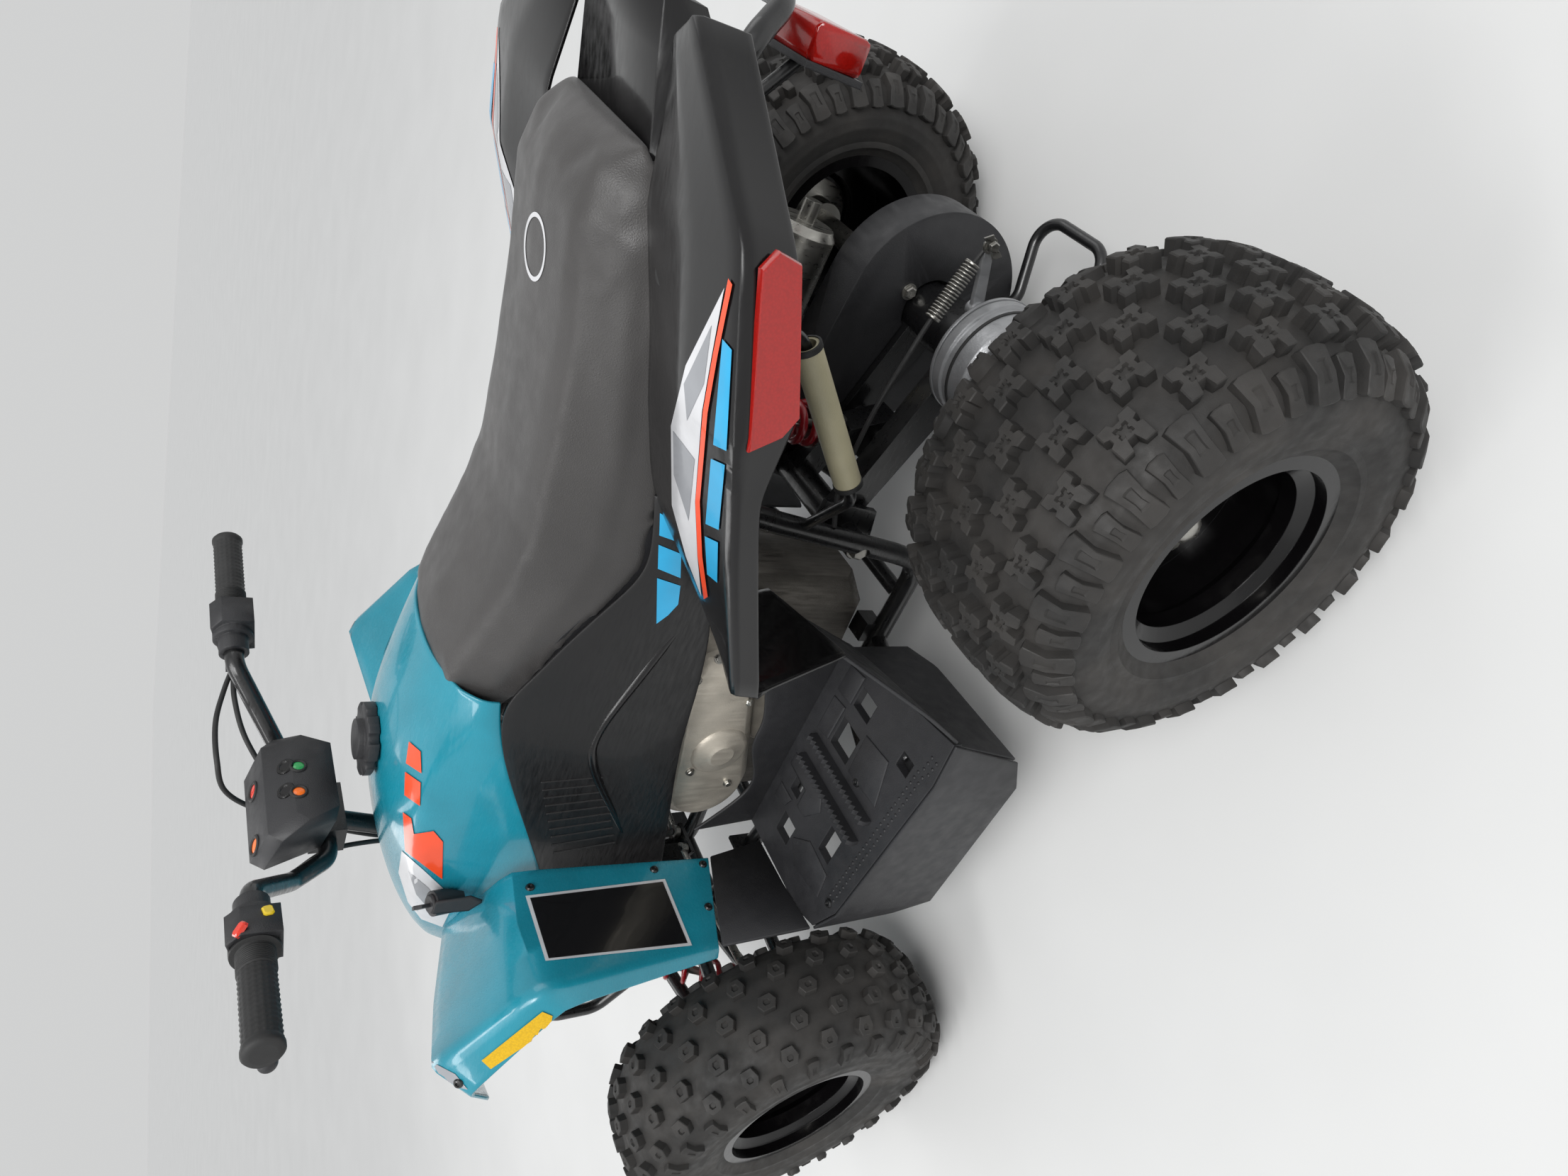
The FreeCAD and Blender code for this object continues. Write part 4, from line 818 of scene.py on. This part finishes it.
def foot_boards():
    """The foot boards: a floor with drain holes, its skirt and its walls."""
    holes = [[(x + a * u / 2, y + b * v / 2) for u, v in ((-1, -1), (1, -1), (1, 1), (-1, 1))]
             for x, y, a, b in DRAINS]
    boards = {}
    for side_name, side in SIDES:
        work = bmesh.new()
        for outline in [FLOOR_OUTLINE] + holes:
            verts = [work.verts.new(placed((x, y, FLOOR), side)) for x, y in outline]
            for a, b in zip(verts, verts[1:] + verts[:1]):
                work.edges.new((a, b))
        bmesh.ops.triangle_fill(work, use_beauty=True, use_dissolve=False, edges=work.edges)
        fresh = bmesh.ops.extrude_face_region(work, geom=list(work.faces))["geom"]
        bmesh.ops.translate(work, vec=(0, 0, -0.012),
                            verts=[part for part in fresh if isinstance(part, bmesh.types.BMVert)])
        bmesh.ops.recalc_face_normals(work, faces=work.faces)
        work.verts.index_update()
        floor = make("foot_board_" + side_name, [vert.co.copy() for vert in work.verts],
                     [tuple(vert.index for vert in face.verts) for face in work.faces], "matte")
        work.free()
        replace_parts(floor, "footwells")
        # The exhaust pipe passes on the right, so the walls there stop short of it.
        wing, inner = WING, INNER_WALL
        if side < 0:
            wing = [[(x, max(y, 174), z) for x, y, z in row] for row in WING]
            inner = [[(x, y + 4, z) for x, y, z in row[:4]] for row in INNER_WALL]
        walls = (("skirt", SKIRT, {}, {1: 1, 2: 1}), ("wall", wing, {1: 0.4}, {1: 0.5}),
                 ("inner_wall", inner, {}, {}), ("flap", FLAP, {}, {1: 0.6}))
        boards[side_name] = [floor] + [
            sheet("foot_board_" + name + "_" + side_name, "footwells", rows, "matte", side, along, across)
            for name, rows, along, across in walls]
    return boards


boards = foot_boards()


# The printed patches, drawn on the photograph: surface, film, lift, and each patch's outline.
PRINTS = (
    ("tank", "white_film", LIFT, {
        "tank_patch_pale": [(322, 333), (332, 306), (354, 289), (392, 277), (420, 281), (398, 306),
                            (372, 334), (344, 344)]}),
    ("tank", "grey_film", SECOND, {
        "tank_patch_grey": [(338, 322), (364, 300), (394, 290), (372, 316), (354, 328)]}),
    ("tank", "orange_film", THIRD, {
        "tank_flash_long": [(384, 333), (420, 286), (470, 283), (462, 294), (442, 297), (446, 322),
                            (432, 334)],
        "tank_flash_mid": [(478, 305), (492, 285), (522, 286), (508, 306)],
        "tank_flash_end": [(520, 307), (533, 287), (561, 291), (548, 306)]}),
    ("panel", "cyan_film", LIFT, {
        "panel_slash_front": [(713, 609), (772, 610), (762, 640), (738, 637), (724, 624)],
        "panel_slash_mid": [(784, 611), (815, 612), (803, 641), (772, 640)],
        "panel_slash_rear": [(827, 613), (856, 614), (838, 641), (817, 641)]}),
    ("rear", "white_film", LIFT, {
        "fender_wedge_pale": [(748, 668), (800, 648), (866, 630), (968, 629), (1046, 648), (1146, 698),
                              (1060, 682), (986, 669), (870, 660), (800, 663)]}),
    ("rear", "grey_film", SECOND, {
        "fender_facet_left": [(846, 652), (905, 633), (962, 632), (925, 660)],
        "fender_facet_right": [(975, 650), (1022, 646), (1098, 682), (1022, 672)]}),
    ("rear", "orange_film", THIRD, {
        "fender_edge_line": [(745, 672), (800, 664), (870, 661), (986, 671), (1060, 684), (1158, 704),
                             (1150, 709), (1058, 690), (984, 677), (870, 667), (800, 670), (748, 677)]}),
    ("rear", "cyan_film", SECOND, {
        "fender_band_front": [(766, 689), (777, 676), (826, 673), (818, 690)],
        "fender_band_mid": [(834, 691), (842, 674), (926, 681), (918, 699)],
        "fender_band_rear": [(936, 701), (944, 684), (1080, 696), (1066, 708)]}),
    ("front", "white_film", LIFT, {
        "fender_label_rim": [(277, 466), (361, 440), (383, 620), (297, 655)]}),
    ("front", "black_film", 0.0011, {
        "fender_label": [(280, 470), (358, 446), (379, 617), (300, 649)]}),
    ("front", "yellow_lens", 0.0015, {
        "front_reflector": [(139, 396), (150, 384), (213, 462), (202, 488)]}),
    ("front", "grey_film", LIFT, {
        "fender_tip_patch": [(112, 366), (118, 338), (148, 319), (132, 350)]}),
)


def decals():
    """Blank patches and bands where the photograph has its printed work, and the seat's ring."""
    trees = {"tank": tree_of(tank)}
    for part, shell in zip(("front", "rear", "panel"), shells["left"]):
        trees[part] = tree_of(shell)
    for part, look, lift, patches in PRINTS:
        for name, outline in patches.items():
            decal(name, trees[part], outline, look, lift)
    count = 64
    spots = [(1199 + 45 * scale * math.cos(angle), 453 + 14 * scale * math.sin(angle))
             for scale in (1.0, 0.86) for angle in turns(count)]
    faces = [(i, (i + 1) % count, count + (i + 1) % count, count + i) for i in range(count)]
    laid("seat_ring", tree_of(seat), spots, faces, "white_film", 0.0006, both=False)


def reflectors():
    """The red reflectors screwed to the rear fenders' outer flanges."""
    corners = [(-476, 360, 676), (-586, 330, 698), (-598, 325, 688), (-594, 325, 670), (-502, 353, 644),
               (-488, 357, 654)]
    for side_name, side in SIDES:
        pile = Pile("rear_reflector_" + side_name, "red_lens")
        pile.plate(places(corners, side), (-0.0015, side * 0.007, 0), 0.0015).done()


decals()
reflectors()


# Steering gear

GRIP_START = Vector((184.95, 251.15, 901.66))
GRIP_AXIS = Vector((-0.2284, 0.9733, 0.0199))
GRIP_END = 0.123


def knurl(angle, along):
    """Relief of the grip's rubber: a plain collar, then a field of small diamonds."""
    if along < 0.03 or along > 0.111:
        return 0
    return 0.0008 * max(0, math.cos(9 * angle + 520 * along) * math.cos(9 * angle - 520 * along))


def grips():
    profile = [(0.0112, 0.0), (0.0225, 0.0), (0.023, 0.0015), (0.0225, 0.0038), (0.0178, 0.0045)]
    for i in range(9):
        along = 0.007 + i * 0.0024
        profile += [(0.0165, along), (0.0178, along + 0.0008), (0.0178, along + 0.0016)]
    profile += [(0.0164, 0.029 + 0.0011 * i) for i in range(75)]
    profile += [(0.0172, 0.113), (0.0182, 0.1155), (0.0182, 0.1195), (0.016, 0.1225), (0.0112, GRIP_END)]
    plug = [(0.0, GRIP_END), (0.0113, GRIP_END), (0.0113, 0.116), (0.0, 0.116)]
    for side_name, side in SIDES:
        start, axis = placed(GRIP_START, side), flip(GRIP_AXIS, side)
        pile = Pile("ribbed_grip_" + side_name, "rubber", "steering")
        pile.lathe(profile, start, axis, 72, knurl).lathe(plug, start, axis, 24)
        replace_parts(pile.done(50), "grips")


def switches():
    """The left control's switches, sunk a little way into its housing."""
    tree, sunk = tree_of(moulded["left_controls"]), 0.002
    # Each row: name, look, place on the photograph, width, height, reach.
    for name, look, spot, wide, tall, high in (
            # The red switch wears the red lamp lens, whose faint glow is painted light: the switch is no
            # lamp.
            ("red_switch", "red_lamp", (318, 72), 0.015, 0.009, 0.003),
            ("yellow_button", "yellow_film", (342, 108), 0.012, 0.010, 0.003),
            ("switch_slider", "rubber", (352, 62), 0.009, 0.009, 0.003)):
        for place, normal in landed(tree, spot):
            right = (ACROSS - normal * ACROSS.dot(normal)).normalized()
            up = normal.cross(right)
            corners = [place - normal * sunk + right * (u * wide / 2) + up * (v * tall / 2)
                       for u, v in ((1, 0.6), (0.7, 1), (-0.7, 1), (-1, 0.6), (-1, -0.6), (-0.7, -1),
                                    (0.7, -1), (1, -0.6))]
            Pile(name, look, "steering").plate(corners, normal * (high + sunk), 0.0015).done()


def instrument_lights():
    """The pod's lamps in their bezels, and its two sockets."""
    tree = tree_of(moulded["instrument_pod"])
    # Each row: name, look, place on the photograph, radius.
    for name, look, spot, radius in (("pod_light_reverse", "amber_lamp", (426, 91), 0.0085),
                                     ("pod_light_heat", "red_lamp", (496, 89), 0.0085),
                                     ("pod_light_check", "amber_lamp", (496, 148), 0.0065),
                                     ("pod_light_neutral", "green_lamp", (529, 147), 0.0065)):
        for place, normal in landed(tree, spot):
            Pile(name + "_bezel", "rubber", "steering").lathe(
                [(radius * 1.5, -0.002), (radius * 1.5, 0.0012), (radius * 1.25, 0.0022),
                 (radius, 0.0012), (radius, -0.002)], place, normal, 28).done()
            Pile(name, look, "steering").lathe(
                [(0, 0.0012), (radius * 0.7, 0.001), (radius * 1.02, 0.0), (0, -0.001)],
                place, normal, 28).done()
    for name, spot in (("pod_socket_left", (497, 131)), ("pod_socket_right", (528, 130))):
        for place, normal in landed(tree, spot):
            Pile(name, "gloss", "steering").lathe(
                [(0, 0.0008), (0.006, 0.0008), (0.0068, 0.002), (0.0095, 0.002), (0.0105, 0.0),
                 (0, -0.001)], place, normal, 24).done()


grips()
switches()
instrument_lights()


# Springs, bolts and wheels

NUT_CIRCLE = 0.039
# Each row: end of the bike, disc face and cap reach from the bike's middle, cap radius.
WHEELS = (("rear", 0.373, 0.408, 0.0155), ("front", 0.385, 0.421, 0.0165))


def coil(pile, start, end, radius, wire, count):
    """A helical spring with flat end turns."""
    axis, side, other = frame_of(end - start)
    length = (end - start).length
    path = []
    for i in range(count * 20 + 1):
        t = i / (count * 20)
        ease = min(max((t - 0.06) / 0.88, 0), 1)
        angle = TURN * count * t
        path.append(start + axis * (wire + ease * (length - 2 * wire))
                    + (side * math.cos(angle) + other * math.sin(angle)) * radius)
    pile.sweep(path, wire, 8)


def springs():
    # Each row: name, node, top, foot, radius, wire radius, turns.
    rows = [("rear_spring_coil", "rear_spring", (-330, 0, 528), (-327, 0, 326), 0.0225, 0.005, 9)]
    for side_name, side in SIDES:
        rows.append(("front_spring_coil_" + side_name, "front_springs", (486, side * 106, 500),
                     (486, side * 256, 208), 0.019, 0.0042, 11))
    for name, node, top, foot, radius, wire, count in rows:
        top, foot = placed(top), placed(foot)
        way = (foot - top).normalized()
        pile = Pile(name, "spring")
        coil(pile, top + way * 0.026, foot - way * 0.03, radius, wire, count)
        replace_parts(pile.done(80), node)
    pile = Pile("brake_return_spring", "steel")
    coil(pile, placed((-500, 60, 311)), placed((-566, 56, 290)), 0.0082, 0.0011, 20)
    pile.done(80)


def wheel_fittings():
    """Nuts, centre caps and valves."""
    for side_name, side in SIDES:
        for end, face, reach, cap in WHEELS:
            name, out = end + "_" + side_name, Vector((0, side, 0))
            body = "rear_axle" if end == "rear" else "wheel_front_" + side_name
            centre = centre_of(end + "_rim_" + side_name)
            nuts = Pile("wheel_nuts_" + name, "steel", body)
            for angle in turns(4, 0.5):
                nuts.hex_bolt((centre.x + NUT_CIRCLE * math.cos(angle), side * face,
                               centre.z + NUT_CIRCLE * math.sin(angle)), out, 0.0085, 0.011)
            nuts.lathe([(0, reach), (cap * 0.5, reach - 0.001), (cap * 0.85, reach - 0.005),
                        (cap, reach - 0.012), (cap, face + 0.004), (0, face + 0.004)],
                       (centre.x, 0, centre.z), out, 28).done()
            foot = Vector((centre.x + 0.07, side * (face + 0.02), centre.z + 0.068))
            Pile("tyre_valve_" + name, "rubber", body).sweep(
                [foot, foot + Vector((-0.006, side * 0.012, -0.006)),
                 foot + Vector((-0.009, side * 0.026, -0.009))], 0.004, 12).done()


def fasteners():
    """Bolts on the frame, the engine cover and the brake, and the bodywork's screws."""
    steel = Pile("frame_bolts", "steel")
    for _, side in SIDES:
        steel.hex_bolt(placed((-232, 112, 303), side), (0, side, 0), 0.012, 0.010)
    for place, normal in landed(tree_of(moulded["chain_guard"]), (1141, 935)):
        steel.hex_bolt(place, normal, 0.008, 0.006)
    steel.hex_bolt(placed((-588, 58, 281)), (0, 1, 0), 0.007, 0.009)
    for outline in (((-600, 62, 288), (-594, 62, 298), (-586, 62, 284), (-590, 62, 278)),
                    ((-576, 62, 274), (-582, 62, 264), (-590, 62, 278), (-586, 62, 284))):
        steel.plate(places(outline), (0, 0.002, 0))
    cover = tree_of(moulded["engine_cover"])
    for place, normal in landed(cover, (592, 640), (640, 662), (667, 690), (522, 652), (508, 700),
                                (560, 742), (612, 728)):
        steel.hex_bolt(place, normal, 0.0048, 0.005)
    steel.done()
    for place, normal in landed(cover, (549, 690)):
        Pile("engine_cover_boss", "cast").lathe(
            [(0, 0.011), (0.016, 0.011), (0.021, 0.0075), (0.032, 0.006), (0.037, 0.003),
             (0.040, -0.002), (0, -0.002)], place, normal, 40).done()
    dark = Pile("panel_screws", "powder")
    shell = landed(tree_of(shells["left"][0]), (347, 676), (402, 669), (262, 640), (395, 606),
                   (372, 446), (120, 354))
    floor = landed(tree_of(*boards["left"]), (352, 832), (508, 868), (540, 932))
    for found, size in ((shell, 0.0055), (floor, 0.006)):
        for place, normal in found:
            for _, side in SIDES:
                dark.screw(flip(place, side), flip(normal, side), size)
    dark.done()


springs()
wheel_fittings()
fasteners()


# Foot space, engine and rear end

def foot_space():
    """Raised treads, rows of studs, toothed bars and the skirt's rib on both foot boards."""
    pads = [[(176, 258), (150, 234), (124, 262), (128, 312), (164, 318)],
            [(80, 166), (62, 166), (62, 240), (80, 252), (112, 232), (112, 214), (80, 214)],
            [(140, 168), (116, 168), (116, 200), (134, 194)],
            [(4, 176), (-52, 176), (-56, 202), (-2, 202)],
            [(-2, 256), (-60, 252), (-66, 300), (-8, 318)],
            [(-104, 176), (-110, 206), (-66, 206), (-62, 176)]]
    teeth = [(180, 278), (180, 292)]
    for step in range(18):
        teeth += [(184 + 8 * step, 298), (188 + 8 * step, 292)]
    teeth.append((324, 278))
    rib = [(196, 337, 236), (150, 355, 232), (-95, 369, 235), (-145, 364, 238)]
    for side_name, side in SIDES:
        pile = Pile("foot_board_treads_" + side_name, "matte")
        for pad in pads:
            pile.plate([placed((x, y, FLOOR - 1), side) for x, y in pad], (0, 0, 0.0035), 0.003)
        for row in range(2):
            for i in range(30):
                x = 150 - i * 9.4
                y = 340 + (150 - x) * 0.04 - row * 9 + (4 if x < -100 else 0)
                pile.lathe([(0, 0.0016), (0.0014, 0.0014), (0.0026, 0), (0, -0.001)],
                           placed((x, y, FLOOR), side), (0, 0, 1), 8)
        for x in (10, 46):
            pile.plate([placed((x, y, z), side) for y, z in teeth], (0.007, 0, 0))
        pile.sweep(places(rib, side), 0.0028, 8).done()


def tank_ends():
    """The walls that close the tank cover's two ends, just inside its shell."""
    for name, look, row, shift, inset in (("front", "teal", TANK[0], -7, 4),
                                          ("rear", "matte", TANK[-2], -4, 7)):
        x, top, top_y, mid, mid_y, low, low_y = row
        x += shift
        half = [(x, low_y - inset, low + 2), (x, (mid_y + low_y) / 2 + 8 - inset, (mid + low) / 2),
                (x, mid_y - inset, mid - inset / 2), (x, top_y - 4, top - inset)]
        outline = half + [(x, 0, top - inset + 1)] + mirrored(half)
        Pile("tank_wall_" + name, look).plate(places(outline), (0.006, 0, 0), 0.004).done()


def engine_dress():
    """Bellows and a clamp on the intake."""
    boot = Pile("intake_bellows", "rubber")
    low, high = placed((246, 107, 446)), placed((262, 96, 520))
    way = (high - low).normalized()
    for i in range(5):
        boot.lathe([(0.0195, -0.003), (0.0235, -0.0012), (0.0235, 0.0012), (0.0195, 0.003)],
                   low + way * (0.014 + i * 0.011), way, 32)
    boot.done()
    Pile("boot_clamp", "steel").lathe(
        [(0.0202, -0.004), (0.0212, -0.004), (0.0212, 0.004), (0.0202, 0.004)],
        placed((206, 108, 415)), (64, 0, 34), 32).done()


def rear_dress():
    """Painted shade in the drum's groove, stay sleeves and mounts, lamp shell, headlamp bezels and the
    key.
    """
    centre = centre_of("rear_brake_drum")
    # A dark rubber ring round the drum is painted shade: it stands for the shadow in the drum's groove.
    Pile("drum_groove_shade", "rubber", "rear_axle").lathe(
        [(0.0658, -0.002), (0.0674, -0.0016), (0.0674, 0.0016), (0.0658, 0.002)],
        (centre.x, 0.100, centre.z), (0, 1, 0), 64).done()
    for side_name, side in SIDES:
        start, end = placed((-365, 198, 436), side), placed((-488, 181, 536), side)
        way, reach = (end - start).normalized(), (end - start).length
        sleeve = Pile("stay_sleeve_" + side_name, "cream")
        sleeve.lathe([(0.0095, 0), (0.0135, 0), (0.0135, 0.004), (0.014, 0.006), (0.014, reach - 0.006),
                      (0.0135, reach - 0.004), (0.0135, reach), (0.0095, reach)], start, way, 36)
        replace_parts(sleeve.done(), "stay_sleeves")
        place = placed((-528, 186, 655), side)
        roof = tree_of(shells[side_name][1]).ray_cast(place, Vector((0, 0, 1)))[0]
        if roof:
            rise = roof.z - place.z
            Pile("stay_mount_" + side_name, "rubber").lathe(
                [(0, 0), (0.011, 0), (0.013, 0.003), (0.013, rise - 0.003), (0.016, rise), (0, rise)],
                place, (0, 0, 1), 24).done()
        caps = Pile("sleeve_ends_" + side_name, "rubber")
        for place in (start + way * 0.002, end - way * 0.002):
            caps.lathe([(0.0125, -0.003), (0.0148, -0.0025), (0.0148, 0.0025), (0.0125, 0.003)],
                       place, way, 28)
        caps.done()
        Pile("headlamp_bezel_" + side_name, "matte").lathe(
            [(0.0235, -0.010), (0.0275, -0.010), (0.0275, 0.001), (0.0262, 0.0025), (0.0235, 0.0005)],
            placed((742, 34, 478), side), (42, 0, -8), 36).done()
    Pile("tail_lamp_back", "matte").plate(
        places(((-681, -54, 498), (-681, 54, 498), (-681, 54, 558), (-681, -54, 558))),
        (0.006, 0, 0)).done()
    key = Pile("ignition_key", "matte")
    key.lathe([(0, 0.004), (0.010, 0.004), (0.0115, 0.002), (0.0115, 0), (0, 0)], placed((294, 156, 702)),
              (-0.17, 0.17, 0.97), 24)
    key.plate(places(((300, 152, 704), (303, 151, 716), (298, 154, 724), (290, 158, 724),
                      (285, 161, 716), (288, 159, 704))), (0.002, 0.0035, 0))
    key.plate(places(((276, 165, 702), (288, 170, 704), (284, 176, 664), (274, 174, 650),
                      (268, 170, 664))), (0.002, 0.003, 0.001))
    key.done()
    Pile("key_blade", "steel").plate(
        places(((296, 154, 700), (296, 154, 708), (290, 158, 708), (290, 158, 700))),
        (0.001, 0.0015, 0)).done()


def flowing(route, side=1, steps=8):
    """A smooth line through a route's points."""
    route = places(route, side)
    ends = [2 * route[0] - route[1], *route, 2 * route[-1] - route[-2]]
    line = []
    for a, b, c, d in zip(ends, ends[1:], ends[2:], ends[3:]):
        for i in range(steps):
            t = i / steps
            line.append(0.5 * (2 * b + (c - a) * t + (2 * a - 5 * b + 4 * c - d) * t * t
                               + (3 * b - 3 * c + d - a) * t ** 3))
    return [*line, route[-1]]


def cables():
    """The hand controls' cables, which turn with the bar, and the rear brake's."""
    hand = [(226, 190, 899), (246, 150, 898), (286, 112, 882), (330, 62, 842), (341, 26, 798),
            (348, 14, 745), (358, 9, 705)]
    loop = [(226, -192, 899), (238, -160, 910), (246, -112, 920), (262, -64, 919), (302, -50, 908),
            (336, -44, 868), (345, -18, 800), (351, 0, 742), (361, 0, 705)]
    pile = Pile("control_cables", "rubber", "steering")
    for line in (flowing(hand), flowing(hand, -1), flowing(loop)):
        pile.sweep(line, 0.0032)
    pile.done(60)
    rear = [(-262, 118, 356), (-300, 92, 352), (-380, 74, 340), (-470, 62, 318), (-502, 60, 311)]
    pile = Pile("rear_brake_cable", "rubber")
    pile.sweep(flowing(rear), 0.003).sweep(flowing([(-560, 57, 292), (-588, 55, 281)]), 0.0022)
    pile.done(60)


def panel_relief():
    """The side panels' arched rib and ribbed patch."""
    tree = tree_of(shells["left"][2])
    arch = [(257, 163, 450), (150, 165, 514), (60, 162, 566), (8, 156, 572), (-90, 158, 546),
            (-188, 155, 514)]
    for side_name, side in SIDES:
        Pile("panel_rib_" + side_name, "gloss").sweep(flowing(arch, side), 0.006, 12).done(50)
        patch = Pile("panel_grille_" + side_name, "satin")
        for i in range(10):
            t = i / 9
            ends = landed(tree, (417 + 91 * t, 476 - 16 * t), (431 + 84 * t, 556 - 16 * t))
            if len(ends) == 2:
                a, b = (flip(place, side) for place, _ in ends)
                patch.sweep([a, (a + b) / 2, b], 0.0015, 8)
        if patch.points:
            patch.done(60)


foot_space()
tank_ends()
engine_dress()
rear_dress()
cables()
panel_relief()


# Stage, light and camera

FLOOR_REACH = 40


def stage():
    """A pale floor, and a studio world that looks pale to the camera and in gloss and glass."""
    corners = ((-1, -1), (1, -1), (1, 1), (-1, 1))
    floor = make("floor", [(u * FLOOR_REACH, v * FLOOR_REACH, 0) for u, v in corners], [(0, 1, 2, 3)],
                 "white_film")
    look = Shader("pale_floor", 0.7)
    look.tint(look.noise(3), (0.67, 0.67, 0.66, 1), (0.70, 0.70, 0.69, 1))
    floor.data.materials[0] = look.material
    floor.parent = None
    world = bpy.data.worlds.new("studio")
    world.use_nodes = True
    bpy.context.scene.world = world
    tree = world.node_tree
    soft = fill(tree, tree.nodes["Background"], {"Color": (0.95, 0.97, 1, 1), "Strength": 0.5})
    pale = fill(tree, tree.nodes.new("ShaderNodeBackground"), {"Color": (0.635, 0.64, 0.64, 1)})
    path = tree.nodes.new("ShaderNodeLightPath")
    seen = path.outputs["Is Camera Ray"]
    for ray in ("Is Transmission Ray", "Is Glossy Ray"):
        either = tree.nodes.new("ShaderNodeMath")
        either.operation = "MAXIMUM"
        fill(tree, either, {0: seen, 1: path.outputs[ray]})
        seen = either.outputs[0]
    blend = fill(tree, tree.nodes.new("ShaderNodeMixShader"),
                 {0: seen, 1: soft.outputs[0], 2: pale.outputs[0]})
    fill(tree, tree.nodes["World Output"], {"Surface": blend.outputs[0]})
    bpy.context.scene.view_settings.view_transform = "Standard"


def aimed(name, data, place, target):
    item = linked(name, data)
    item.location = place
    item.rotation_euler = (Vector(target) - Vector(place)).to_track_quat("-Z", "Y").to_euler()


def lights():
    """A broad sun lights the floor evenly and keeps the shadows soft. Four lamps shape the bike."""
    data = bpy.data.lights.new("sun", "SUN")
    data.angle = math.radians(35)
    data.energy = 1.5
    aimed("sun", data, (-1.2, 1.6, 3.0), (0, 0, 0))
    # Each row: name, place, target, size, power.
    for name, place, target, size, power in (
            ("key", (-1.4, 1.9, 2.6), (0, 0, 0.5), (1.2, 0.8), 26),
            ("strip", (0.6, 1.0, 2.8), (0, 0, 0.5), (0.25, 2.4), 18),
            ("fill", (-2.6, -1.6, 2.0), (0, 0, 0.4), (1.6, 1.6), 11),
            ("front", (2.4, -0.6, 2.2), (0.2, 0, 0.5), (1.2, 1.2), 11)):
        data = bpy.data.lights.new(name, "AREA")
        data.shape = "RECTANGLE"
        data.size, data.size_y = size
        data.energy = power
        aimed(name, data, place, target)


def camera():
    """The photograph was taken from behind and to the left, and is lying on its side."""
    data = bpy.data.cameras.new("camera")
    data.sensor_width, data.lens = 36, 21.96
    item = linked("camera", data)
    place = Matrix((DOWN, ACROSS, DOWN.cross(ACROSS))).transposed().to_4x4()
    place.translation = VIEW
    item.matrix_world = place
    bpy.context.scene.camera = item


stage()
lights()
camera()
